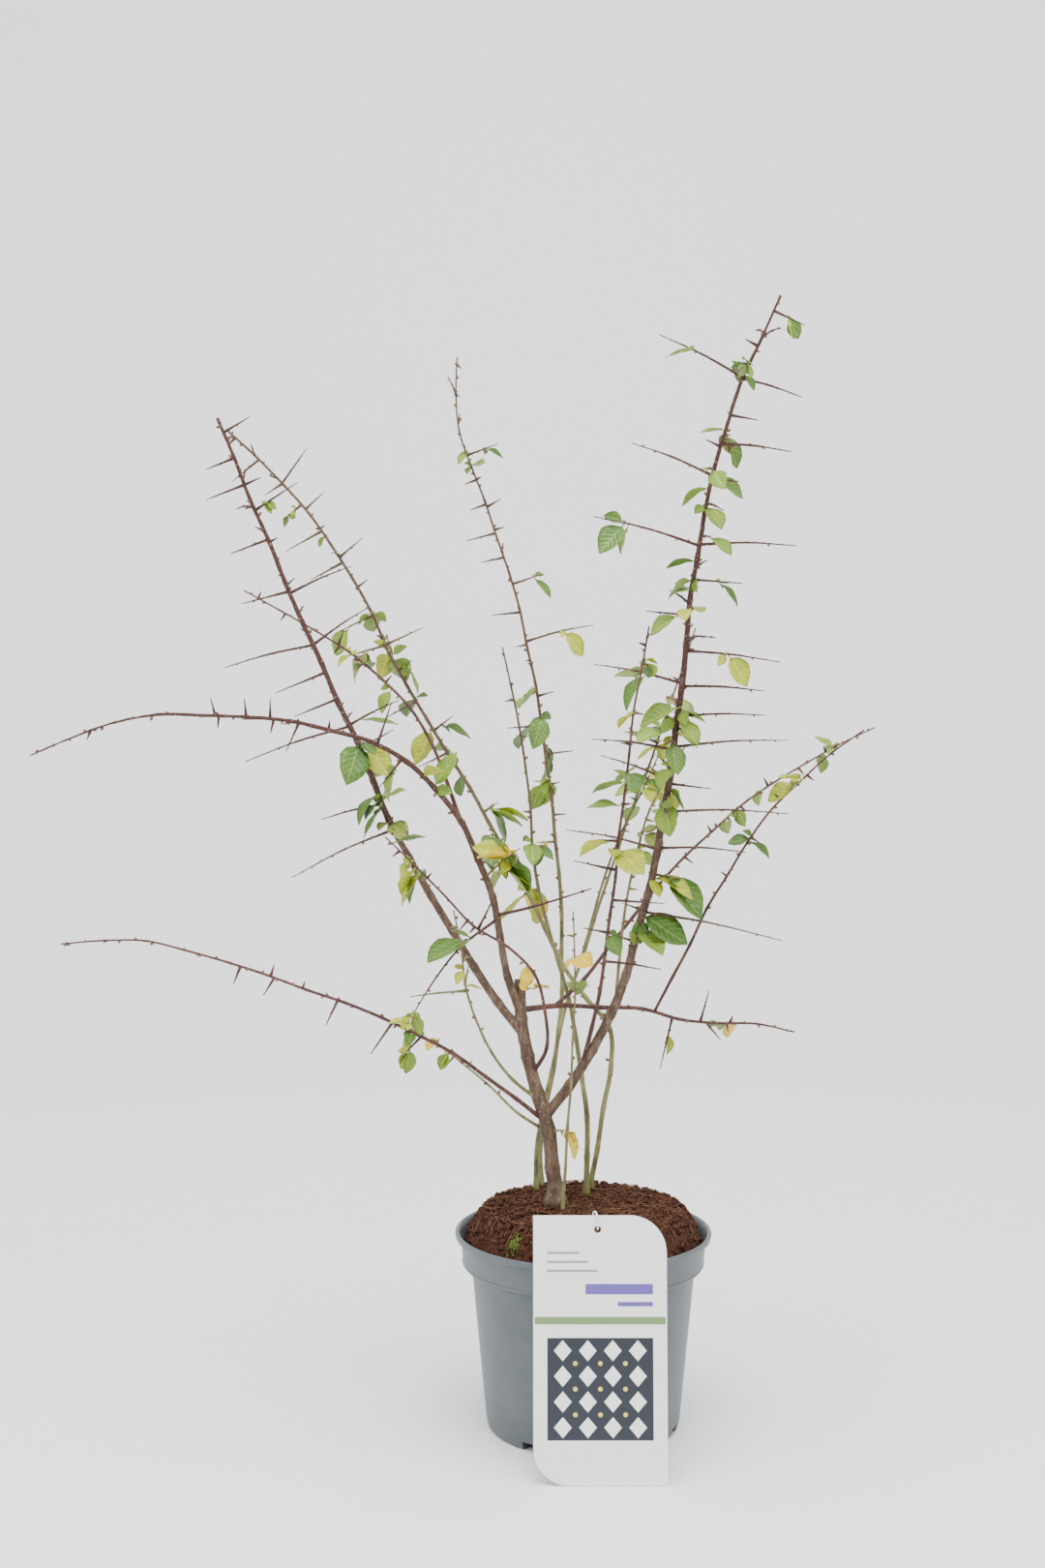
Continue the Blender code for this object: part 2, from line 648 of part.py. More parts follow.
def triangle_section():
    """The three-sided outline of a twig, as a guide for its curve."""
    name = "triangle_section"
    if name in bpy.data.objects:
        return bpy.data.objects[name]
    curve = bpy.data.curves.new(name, "CURVE")
    curve.dimensions = "2D"
    spline = curve.splines.new("POLY")
    spline.points.add(2)
    for point, (x, y) in zip(spline.points, arc((0.0, 0.0), 1.0, 90, 330, 2)):
        point.co = (x, y, 0.0, 1.0)
    spline.use_cyclic_u = True
    section = bpy.data.objects.new(name, curve)
    section.hide_render = True
    section.display_type = "WIRE"
    bpy.data.collections["cutters"].objects.link(section)
    return section


# The rule of growth

class Space:
    """The room that is taken, as balls along every limb, twig and leaf."""

    def __init__(self):
        self.centres = np.zeros((0, 3))
        self.radii = np.zeros(0)
        self.owners = np.zeros(0, dtype=int)

    def balls(self, points, radii):
        centres, sizes = [], []
        for a, b, ra, rb in zip(points, points[1:], radii, radii[1:]):
            steps = max(1, math.ceil((b - a).length / 0.003))
            for k in range(steps):
                centres.append(a.lerp(b, k / steps))
                sizes.append(ra + (rb - ra) * k / steps)
        centres.append(points[-1])
        sizes.append(radii[-1])
        return np.array([tuple(c) for c in centres]), np.array(sizes)

    def add(self, points, radii, owner):
        centres, sizes = self.balls(points, radii)
        self.centres = np.vstack((self.centres, centres))
        self.radii = np.concatenate((self.radii, sizes))
        self.owners = np.concatenate((self.owners, np.full(len(sizes), owner)))

    def is_free(self, points, radii, owner, clearance):
        centres, sizes = self.balls(points, radii)
        others = self.owners != owner
        if not others.any():
            return True
        apart = np.linalg.norm(centres[:, None, :] - self.centres[None, others, :], axis=2)
        room = apart - sizes[:, None] - self.radii[None, others]
        return bool(room.min() > clearance)


def spur_points(root, along, side, length, rng):
    """A spur leaves its stem almost square, runs out and droops a little."""
    lean = SPUR_LEAN + rng.uniform(-0.10, 0.10)
    out = side * math.sin(lean) + along * math.cos(lean)
    count = 1 if length < 0.040 else 2
    bow = side.cross(along) * rng.uniform(-0.05, 0.05)
    points = []
    for k in range(count + 1):
        share = k / count
        sag = Vector((0.0, 0.0, -SPUR_DROOP)) * length * share**2
        points.append(root + out * length * share + sag + bow * length * share * (1 - share) * 2)
    radii = [SPUR_BASE + (SPUR_TIP - SPUR_BASE) * (k / count) for k in range(count + 1)]
    return points, radii


def grow_spurs(stem, limb, start, owner, space, rng):
    """Spurs at even places: the listed lengths to left and right, and the same lengths
    dealt out again in another order to the front and the back."""
    spurs = []
    lists = (
        (stem.left, 0.0, 1.0, 1),
        (stem.right, math.pi, 1.0, 1),
        (rng.sample(stem.left, len(stem.left)), math.pi / 2, DEPTH_SPUR_SHARE, DEPTH_SHORTEST),
        (rng.sample(stem.right, len(stem.right)), -math.pi / 2, DEPTH_SPUR_SHARE, DEPTH_SHORTEST),
    )
    for number, (lengths, turn, share, shortest) in enumerate(lists):
        for i, listed in enumerate(lengths):
            place = (i + 0.5 + 0.25 * (number > 1)) / len(lengths)
            place += rng.uniform(-0.12, 0.12) / len(lengths)
            angle = turn + rng.uniform(-0.3, 0.3)
            length = listed * MM * share * rng.uniform(0.95, 1.05)
            if listed < shortest or place > 0.985:
                continue
            along_stem = start + (1.0 - start) * place
            root, along, left, back, radius = limb.at(along_stem)
            side = left * math.cos(angle) + back * math.sin(angle)
            points, radii = spur_points(root, along, side, length + radius, rng)
            if space.is_free(points, radii, owner, TWIG_CLEARANCE):
                space.add(points, radii, owner)
                spurs.append((place, points, radii))
    return spurs


def leaf_frame(base, out, length, rng):
    """The leaf's place: x along it, y across it, z out of its upper face."""
    along = (out + Vector((0.0, 0.0, -rng.uniform(0.3, 1.5)))).normalized()
    up = Vector((rng.uniform(-0.5, 0.5), rng.uniform(-0.8, 0.4), 1.0))
    across = up.cross(along).normalized()
    up = along.cross(across)
    start = base - along * LEAF_SUNK
    turn = Matrix((along, across, up)).transposed().to_4x4()
    return Matrix.Translation(start) @ turn, length + LEAF_SUNK


def grow_leaves(stem, limb, start, spurs, owner, space, rng):
    """Leaves stand in the listed stretches, on the stem or on the spurs beside them."""
    leaves = []
    for first, last, count, size in stem.leaves:
        for _ in range(count):
            for _try in range(6):
                place = rng.uniform(first, last)
                near = [s for s in spurs if abs(s[0] - place) < 0.08
                        and (s[1][-1] - s[1][0]).length > 0.012]
                if near and rng.random() < 0.6:
                    points = rng.choice(near)[1]
                    share = rng.uniform(0.2, 0.8) * (len(points) - 1)
                    i = int(share)
                    base = points[i].lerp(points[i + 1], share - i)
                    out = (points[i + 1] - points[i]).normalized() * 0.7
                else:
                    base, along, left, back, radius = limb.at(start + (1.0 - start) * place)
                    angle = rng.uniform(0.0, math.tau)
                    out = left * math.cos(angle) * 1.3 + back * math.sin(angle) + along * 0.3
                out = out + Vector((rng.uniform(-0.4, 0.4), rng.uniform(-0.4, 0.4), 0.0))
                length = size * MM * rng.uniform(0.75, 1.1)
                frame, length = leaf_frame(base, out, length, rng)
                width = length * LEAF_WIDTH_SHARE
                middle = [frame @ Vector((length * k, 0.0, 0.0)) for k in (0.12, 0.5, 1.0)]
                radii = [0.0005, width / 2, 0.0005]
                if space.is_free(middle, radii, owner, TWIG_CLEARANCE):
                    space.add(middle, radii, owner)
                    leaves.append((frame, length, width))
                    break
    return leaves


# Solids of the plant

def make_leaf(name, frame, length, width, collection):
    """A lens of eight faces with a point at its root and at its tip."""
    bm = bmesh.new()
    bmesh.ops.create_uvsphere(bm, u_segments=4, v_segments=2, radius=0.5)
    size = Matrix.Diagonal((length, width, LEAF_THICKNESS, 1.0))
    place = frame @ Matrix.Translation((length / 2, 0.0, 0.0)) @ size
    bmesh.ops.transform(bm, matrix=place, verts=bm.verts)
    bmesh.ops.recalc_face_normals(bm, faces=bm.faces)
    return mesh_object(name, bm, collection)


def join(name, pieces, parts):
    """One solid from the crown's stem, spurs and leaves by a Boolean union."""
    stem = pieces[0]
    parts.objects.link(stem)
    stem.name = name
    if len(pieces) > 1:
        operands = bpy.data.collections.new(name + "_operands")
        bpy.context.scene.collection.children.link(operands)
        for piece in pieces[1:]:
            operands.objects.link(piece)
        boolean = stem.modifiers.new("Union", "BOOLEAN")
        boolean.operation = "UNION"
        boolean.operand_type = "COLLECTION"
        boolean.collection = operands
        boolean.solver = "MANIFOLD"
        bpy.context.view_layer.update()
        depsgraph = bpy.context.evaluated_depsgraph_get()
        joined = bpy.data.meshes.new_from_object(stem.evaluated_get(depsgraph))
        stem.modifiers.clear()
        stem.data = joined
        for piece in pieces[1:]:
            bpy.data.objects.remove(piece, do_unlink=True)
        bpy.data.collections.remove(operands)
    return stem


def rooted(limb, flare):
    """The foot stands square on the soil and spreads there by its root flare."""
    foot = limb.points[0]
    height = FLARE_HEIGHT * (flare - 1)
    rise = Vector((0.0, 0.0, height / 2))
    points = [foot, foot + rise, foot + 2 * rise + (limb.points[1] - foot) * 0.02]
    radii = [limb.radii[0] * (1 + (flare - 1) * part) for part in (1.0, 0.45, 0.1)]
    return Limb(points + limb.points[1:], radii + limb.radii[1:])


def make_plant(parts, cutters):
    workshop = new_collection("workshop")
    limbs = {}
    space = Space()
    for owner, (key, stem) in enumerate(STEMS.items()):
        rng = random.Random(SEED + owner)
        limb = make_limb(stem, limbs.get(stem.parent), rng)
        if stem.parent is None:
            limb = rooted(limb, TRUNK_FLARE if key == "trunk" else CANE_FLARE)
        limbs[key] = limb
        space.add(limb.points, limb.radii, owner)

    for owner, (key, stem) in enumerate(STEMS.items()):
        rng = random.Random(SEED + 100 + owner)
        limb = limbs[key]
        start = 0.0
        for name, share in stem.parts:
            end = cut_share(limb, share)
            points, radii = stretch(limb, start, end)
            if "crown" in name:
                spurs = grow_spurs(stem, limb, start, owner, space, rng)
                leaves = grow_leaves(stem, limb, start, spurs, owner, space, rng)
                pieces = [tube(name + "_stem", points, radii, 4, workshop)]
                for _, spur, thickness in spurs:
                    pieces.append(tube(name + "_spur", spur, thickness, 3, workshop))
                for frame, length, width in leaves:
                    pieces.append(make_leaf(name + "_leaf", frame, length, width, workshop))
                for piece in pieces:
                    workshop.objects.unlink(piece)
                piece = join(name, pieces, parts)
                finish(piece, LEAF_GREEN, 0.6)
            else:
                sides = 10 if key == "trunk" else 8 if radii[0] > 0.0025 else 6
                piece = tube(name, points, radii, sides, parts)
                finish(piece, BARK_BY_PART.get(name, GREEN_BARK), 0.7)
            if start == 0.0 and stem.parent is not None:
                cut(piece, clearance_cutter(stem.parent, limbs[stem.parent], cutters))
            smooth(piece, 50)
            start = end
    bpy.data.collections.remove(workshop)


def clearance_cutter(key, limb, cutters):
    """The parent limb, larger by the gap, which a child's root is cut back to."""
    name = key + "_clearance"
    if name in bpy.data.objects:
        return bpy.data.objects[name]
    radii = [radius + GAP for radius in limb.radii]
    sides = 10 if key == "trunk" else 8
    return tube(name, limb.points, radii, sides, cutters)


def main():
    clear_scene()
    parts = new_collection("potted_blackthorn")
    cutters = new_collection("cutters")
    pot = make_pot(parts, cutters)
    soil = make_soil(parts)
    for piece in (pot, soil):
        smooth(piece, 30)
    make_label(parts)
    make_label_tie(parts)
    make_plant(parts, cutters)


main()
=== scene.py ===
# %% [markdown]
# # A blackthorn in a nursery pot
#
# The measured solids come in first, as a fixed frame in metres with +Z up. Each later
# step dresses some of them.

# %% Load the frame
import json
import math
import random
from collections import namedtuple

import bmesh
import bpy
import numpy as np
from mathutils import Matrix, Vector, noise

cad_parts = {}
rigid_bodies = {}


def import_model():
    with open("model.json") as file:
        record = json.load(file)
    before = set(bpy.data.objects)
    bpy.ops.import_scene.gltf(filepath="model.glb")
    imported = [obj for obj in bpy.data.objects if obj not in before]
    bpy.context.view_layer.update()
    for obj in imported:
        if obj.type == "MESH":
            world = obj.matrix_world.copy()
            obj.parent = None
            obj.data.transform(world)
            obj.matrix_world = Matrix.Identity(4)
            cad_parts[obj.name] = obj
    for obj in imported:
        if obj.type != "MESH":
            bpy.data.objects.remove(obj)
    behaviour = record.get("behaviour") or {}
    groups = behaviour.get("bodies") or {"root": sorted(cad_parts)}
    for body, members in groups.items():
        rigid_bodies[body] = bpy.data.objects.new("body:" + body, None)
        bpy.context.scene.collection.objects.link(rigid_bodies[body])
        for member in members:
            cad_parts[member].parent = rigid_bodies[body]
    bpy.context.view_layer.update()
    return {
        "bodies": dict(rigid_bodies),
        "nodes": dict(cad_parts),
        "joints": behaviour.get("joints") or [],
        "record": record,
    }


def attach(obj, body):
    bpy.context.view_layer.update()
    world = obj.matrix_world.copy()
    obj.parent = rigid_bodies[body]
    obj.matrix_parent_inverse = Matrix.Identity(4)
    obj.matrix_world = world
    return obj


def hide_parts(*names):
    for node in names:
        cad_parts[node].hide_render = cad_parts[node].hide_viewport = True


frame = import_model()
print("nodes in the frame:", len(frame["nodes"]))

# %% [markdown]
# ## Sizes
#
# The plant's sizes are the ones its solids were grown from. The twigs and leaves are
# grown again here by the same rule, with finer steps. So every limb lies where its solid
# lies, and only its surface gets richer.

# %% Sizes of the pot, the label and the plant
MM = 0.001
GAP = 0.0003

POT_HEIGHT = 0.1435
POT_RIM_RADIUS = 0.0930
POT_BAND_RADIUS = 0.0885
POT_BODY_TOP_RADIUS = 0.0800
POT_BASE_RADIUS = 0.0702
POT_BAND_DROP = 0.025
POT_LIP_DROP = 0.0048
POT_WALL = 0.0015
POT_FLOOR = 0.0040
POT_FOOT_INNER = 0.052
POT_PAD_RADIUS = 0.032
POT_RECESS = 0.0020

DRAIN_COUNT = 7
DRAIN_FIRST_DEG = -34.5
DRAIN_WIDTH = 0.011
DRAIN_HEIGHT = 0.0065
DRAIN_DEPTH = 0.013

SOIL_TOP = 0.160
SOIL_PLATEAU = 0.070
SOIL_EDGE = 0.137

LABEL_WIDTH = 0.091
LABEL_LENGTH = 0.180
LABEL_THICKNESS = 0.0005
LABEL_CORNER = 0.025
LABEL_LEAN = math.radians(9.0)
LABEL_X = 0.0087
LABEL_HOLE_RADIUS = 0.0024
LABEL_HOLE_DOWN = 0.0095
LABEL_HOLE_LEFT = 0.044
TIE_RADIUS = 0.0006

SEED = 31
NODE_SPACING = 0.030
KINK = 0.022
COLLAR = 1.15
ROOT_SHARE = 0.8
TWIG_CLEARANCE = 0.0012
SPUR_LEAN = math.radians(80)
SPUR_BASE = 0.00095
SPUR_TIP = 0.00030
SPUR_DROOP = 0.10
DEPTH_SPUR_SHARE = 0.7
DEPTH_SHORTEST = 10
LEAF_WIDTH_SHARE = 0.56
LEAF_SUNK = 0.0018
TRUNK_FLARE = 1.55
CANE_FLARE = 1.25
FLARE_HEIGHT = 0.020
GOLDEN_ANGLE = math.radians(137.5)
SOIL_RIM_RADIUS = POT_BAND_RADIUS - POT_WALL - 0.0009
NODE_SWELL = 0.16
NODE_SWELL_LENGTH = 0.0026
RELIEF_FINE = 420.0
RELIEF_BROAD = 95.0
BUD_SPACING = 0.011
SPUR_BUD_SPACING = 0.0085
BUD_SIZE = 0.0017
STALK = 0.005
LEAF_SHEET = 0.00025
LOW_LEAVES = 0.42

# %% [markdown]
# ## The stems
#
# Each stem has a way from its root to its tip in millimetres, its thickness at both ends,
# the shares where its solid parts end, the lengths of its spurs to the left and the right,
# and its leafy stretches. A table of a few way points for each stem reads like a pruning
# plan, and it is easier to adjust than a traced mesh.

# %% Stems of the blackthorn
Stem = namedtuple("Stem", "parent parts way thick left right leaves")

STEMS = {
    "trunk": Stem(
        None, (("trunk", 0.44), ("leader", 1.0)),
        ((-20, 3, 160.3), (-23, 2, 190), (-27, 0, 226), (-34, 0, 246), (-43, 0, 282), (-46, 2, 326)),
        (5.6, 4.1), (), (), ()),
    "right": Stem(
        "trunk", (("right_bough", 0.24), ("right_crown", 1.0)),
        ((-27, 0, 226), (-8, -2, 253), (15, -6, 292), (41, -16, 374), (64, -40, 515),
         (74, -56, 619), (97, -72, 726), (128, -82, 799)),
        (3.9, 0.9),
        (22, 15, 0, 64, 0, 53, 61, 0, 68, 0, 27, 0, 80, 0, 64, 11, 0, 64, 9, 0),
        (16, 92, 17, 60, 94, 26, 78, 59, 54, 65, 0, 32, 65, 0, 17, 45, 17, 42, 0, 22),
        ((0.0, 0.14, 4, 36), (0.12, 0.45, 17, 27), (0.45, 0.72, 13, 26), (0.72, 0.86, 4, 22),
         (0.86, 1.0, 9, 13))),
    "left": Stem(
        "trunk", (("left_bough", 0.36), ("left_crown", 1.0)),
        ((-43, 0, 286), (-73, -2, 326), (-105, -4, 380), (-128, -6, 419), (-163, -12, 501),
         (-193, -18, 569), (-256, -30, 724)),
        (3.2, 1.1),
        (84, 42, 0, 0, 80, 30, 36, 66, 0, 31, 0, 29, 0, 28, 20, 0),
        (0, 0, 0, 27, 42, 0, 0, 48, 0, 50, 0, 6, 38, 12, 0, 21),
        ((0.0, 0.10, 3, 24), (0.05, 0.34, 6, 34), (0.8, 0.95, 2, 9))),
    "arch": Stem(
        "trunk", (("arching_bough", 0.36), ("arching_crown", 1.0)),
        ((-45, 0, 302), (-54, -7, 328), (-68, -12, 395), (-91, -22, 447), (-131, -40, 490),
         (-178, -58, 509), (-245, -84, 519), (-309, -104, 517), (-368, -120, 494)),
        (3.0, 0.55),
        (37, 0, 23, 0, 0, 0, 18, 8, 0, 7, 0, 0, 0, 0, 0, 0),
        (0, 0, 0, 33, 0, 6, 0, 15, 13, 13, 0, 0, 0, 0, 0, 0),
        ((0.0, 0.12, 3, 26),)),
    "cross": Stem(
        "arch", (("cross_bough", 0.42), ("cross_crown", 1.0)),
        ((-89, -21, 442), (-104, -12, 487), (-127, -2, 525), (-177, 10, 567), (-245, 20, 606)),
        (1.5, 0.6),
        (0, 6, 6, 0, 5, 0),
        (7, 0, 12, 0, 0, 6),
        ((0.0, 0.5, 3, 16),)),
    "back": Stem(
        None, (("back_cane_foot", 0.185), ("back_cane", 0.36), ("back_crown", 1.0)),
        ((7, 47, 160.3), (13, 50, 198), (22, 57, 262), (20, 60, 287), (-3, 63, 308),
         (-24, 67, 349), (-49, 71, 397), (-90, 78, 469), (-131, 85, 535), (-176, 94, 623),
         (-222, 102, 685), (-270, 110, 731)),
        (2.1, 0.9),
        (0, 0, 9, 0, 0, 21, 0, 25, 0, 27, 26, 0, 25, 28, 15, 14, 25, 8),
        (0, 0, 0, 14, 0, 0, 19, 0, 13, 32, 0, 10, 25, 0, 21, 34, 0, 0),
        ((0.0, 0.14, 6, 32), (0.14, 0.34, 4, 30), (0.34, 0.66, 12, 26), (0.7, 0.95, 4, 10))),
    "slim": Stem(
        None, (("slim_cane", 0.62), ("slim_crown", 1.0)),
        ((3, 30, 160.3), (4, 28, 199), (-3, 24, 269), (-16, 18, 331), (-31, 9, 382),
         (-37, 0, 425), (-41, -12, 476), (-58, -38, 565)),
        (2.3, 0.6),
        (0, 5, 0, 0, 6, 0),
        (9, 0, 0, 5, 0, 0),
        ((0.0, 0.15, 3, 24),)),
    "middle": Stem(
        None, (("middle_cane", 0.38), ("middle_crown", 1.0)),
        ((-30, 56, 160.3), (-30, 64, 197), (-18, 76, 260), (-14, 88, 350), (-20, 98, 431),
         (-31, 108, 516), (-49, 120, 604), (-78, 133, 691), (-95, 141, 741), (-95, 148, 791)),
        (2.1, 0.6),
        (13, 0, 11, 0, 27, 0, 0, 8, 22, 0, 16, 22, 12, 9, 0, 0, 0, 0),
        (0, 9, 7, 21, 0, 14, 0, 56, 0, 26, 0, 8, 12, 4, 25, 0, 0, 0),
        ((0.0, 0.16, 3, 22), (0.16, 0.36, 4, 34), (0.48, 0.56, 2, 26), (0.75, 0.84, 4, 14))),
    "green": Stem(
        None, (("green_cane", 0.6), ("green_crown", 1.0)),
        ((-34, 44, 160.3), (-33, 52, 198), (-27, 60, 224), (-12, 70, 291), (9, 82, 353),
         (31, 92, 419), (55, 100, 482), (89, 116, 580)),
        (1.8, 0.6),
        (6, 0, 8, 0, 5, 0),
        (0, 5, 0, 6, 0, 4),
        ((0.2, 0.95, 7, 24),)),
    "twin": Stem(
        "green", (("twin_cane", 0.5), ("twin_crown", 1.0)),
        ((-5, 75, 316), (6, 68, 350), (18, 62, 397), (34, 55, 436), (56, 50, 484)),
        (1.3, 0.55),
        (0, 6, 0),
        (5, 0, 5),
        ((0.3, 1.0, 4, 24),)),
    "sucker": Stem(
        None, (("sucker", 0.7), ("sucker_crown", 1.0)),
        ((-15, -12, 160.3), (-13, -14, 196), (-10, -17, 252), (-7, -18, 306), (-8, -18, 378)),
        (1.25, 0.5),
        (0, 5),
        (4, 0),
        ((0.3, 0.8, 2, 22),)),
    "inner": Stem(
        "right", (("inner_shoot", 0.26), ("inner_crown", 1.0)),
        ((-1, -3, 264), (6, -12, 294), (15, -34, 356), (21, -54, 417), (26, -70, 469),
         (31, -86, 522), (40, -100, 579)),
        (1.6, 0.6),
        (0, 17, 0, 29, 13, 0, 0, 6, 0, 0, 5),
        (42, 0, 35, 0, 0, 5, 0, 0, 7, 0, 0),
        ((0.0, 0.2, 1, 18), (0.3, 0.6, 5, 30), (0.6, 0.95, 5, 18))),
    "outer": Stem(
        "right", (("outer_shoot", 0.34), ("outer_crown", 1.0)),
        ((22, -8, 312), (25, 2, 337), (32, 18, 381), (42, 30, 425), (57, 40, 461), (76, 48, 492)),
        (1.3, 0.6),
        (0, 5, 0, 6, 0),
        (6, 0, 5, 0, 0),
        ((0.2, 0.9, 3, 22),)),
    "level": Stem(
        "trunk", (("level_bough", 0.54), ("level_crown", 1.0)),
        ((-44, 1, 304), (-20, 6, 306), (25, 16, 302), (52, 21, 301), (87, 28, 287),
         (107, 32, 290), (158, 42, 280)),
        (2.1, 0.6),
        (0, 24, 6, 0, 0),
        (37, 0, 5, 0, 0),
        ((0.0, 0.1, 1, 20), (0.35, 0.6, 3, 22))),
    "rising": Stem(
        "level", (("rising_bough", 0.42), ("rising_crown", 1.0)),
        ((-21, 6, 306), (4, 20, 327), (33, 36, 362), (76, 58, 408), (143, 84, 461),
         (184, 95, 484), (226, 105, 504)),
        (1.6, 0.55),
        (0, 6, 0, 8, 0, 5, 0),
        (7, 0, 5, 0, 6, 0, 0),
        ((0.1, 0.5, 3, 18), (0.75, 0.95, 3, 20))),
    "side": Stem(
        "level", (("side_bough", 0.42), ("side_crown", 1.0)),
        ((53, 21, 301), (70, 14, 335), (97, -1, 392), (135, -22, 454), (161, -34, 482),
         (192, -50, 508)),
        (1.3, 0.55),
        (5, 0, 7, 0, 0),
        (0, 6, 0, 5, 0),
        ((0.0, 0.5, 2, 20), (0.6, 0.95, 3, 22))),
    "low": Stem(
        "trunk", (("low_bough", 0.27), ("low_crown", 1.0)),
        ((-27, 0, 222), (-54, -8, 245), (-110, -22, 286), (-151, -31, 307), (-217, -44, 334),
         (-266, -53, 352), (-319, -62, 364), (-361, -70, 362)),
        (1.6, 0.55),
        (22, 25, 0, 17, 0, 13, 11, 0, 0, 0, 0, 0),
        (0, 0, 0, 0, 5, 9, 0, 0, 0, 0, 0, 0),
        ((0.0, 0.1, 5, 16),)),
    "low_twig": Stem(
        "trunk", (("low_twig", 0.6), ("low_twig_crown", 1.0)),
        ((-27, 1, 214), (-42, 8, 223), (-75, 24, 249), (-112, 38, 276)),
        (1.3, 0.6),
        (0, 5, 0),
        (6, 0, 4),
        ((0.5, 1.0, 3, 13),)),
    "knuckle": Stem(
        "trunk", (("green_twig", 0.58), ("green_twig_crown", 1.0)),
        ((-31, 0, 238), (-43, -6, 246), (-63, -18, 272), (-82, -34, 318), (-86, -40, 335),
         (-87, -46, 360), (-92, -52, 383)),
        (1.4, 0.55),
        (40, 0, 5),
        (0, 6, 0),
        ((0.0, 0.4, 2, 14),)),
    "hooked": Stem(
        "trunk", (("hooked_twig", 0.42), ("hooked_crown", 1.0)),
        ((-38, 0, 257), (-29, -10, 268), (-26, -17, 290), (-31, -27, 318), (-42, -34, 347),
         (-73, -39, 365), (-105, -40, 399), (-140, -40, 433)),
        (1.5, 0.55),
        (0, 5, 0, 0, 6),
        (0, 28, 0, 5, 0),
        ((0.7, 1.0, 5, 26),)),
    "drooping": Stem(
        "arch", (("drooping_twig", 0.3), ("drooping_crown", 1.0)),
        ((-64, -9, 371), (-90, -26, 351), (-114, -46, 321), (-124, -56, 304)),
        (1.1, 0.4),
        (0, 0),
        (0, 0),
        ((0.0, 0.1, 1, 38), (0.8, 1.0, 3, 14))),
    "reaching": Stem(
        "arch", (("reaching_twig", 1.0),),
        ((-64, -9, 374), (-39, -20, 381), (4, -42, 397)),
        (1.2, 0.45), (), (), ()),
    "arch_sprig": Stem(
        "arch", (("arch_sprig_crown", 1.0),),
        ((-70, -12, 402), (-60, -22, 412), (-46, -30, 424)),
        (1.0, 0.5),
        (8, 0),
        (0, 9),
        ((0.3, 1.0, 6, 32),)),
    "fork_sprig": Stem(
        "trunk", (("fork_sprig_crown", 1.0),),
        ((-25, 1, 214), (-17, -8, 218), (-8, -13, 217)),
        (0.9, 0.45),
        (0,),
        (3,),
        ((0.6, 0.8, 1, 31), (0.7, 1.0, 1, 12))),
    "leader_sprig": Stem(
        "trunk", (("leader_sprig_crown", 1.0),),
        ((-46, 1, 318), (-40, -9, 322), (-35, -16, 322)),
        (0.8, 0.4),
        (0,),
        (0,),
        ((0.5, 1.0, 2, 18),)),
}
print("stems:", len(STEMS))

# %% [markdown]
# ## Shader maths in plain expressions
#
# A material is a graph of nodes. Wires are easier to read as sums, so one small class
# wraps a socket and adds a Math node for each operator. Any other node comes from one
# method that takes its type, its settings and its inputs.

# %% A finish and its expressions
class Value:
    """A socket that adds Math nodes when it meets an operator."""

    def __init__(self, finish, socket):
        self.finish = finish
        self.socket = socket

    def maths(self, operation, *others):
        return self.finish.node("ShaderNodeMath", {"operation": operation},
                                **{str(i): v for i, v in enumerate((self, *others))})

    def __add__(self, other):
        return self.maths("ADD", other)

    def __sub__(self, other):
        return self.maths("SUBTRACT", other)

    def __mul__(self, other):
        return self.maths("MULTIPLY", other)

    __radd__ = __add__
    __rmul__ = __mul__

    def __rsub__(self, other):
        return (self * -1.0) + other

    def above(self, edge):
        return self.maths("GREATER_THAN", edge)

    def size(self):
        return self.maths("ABSOLUTE")


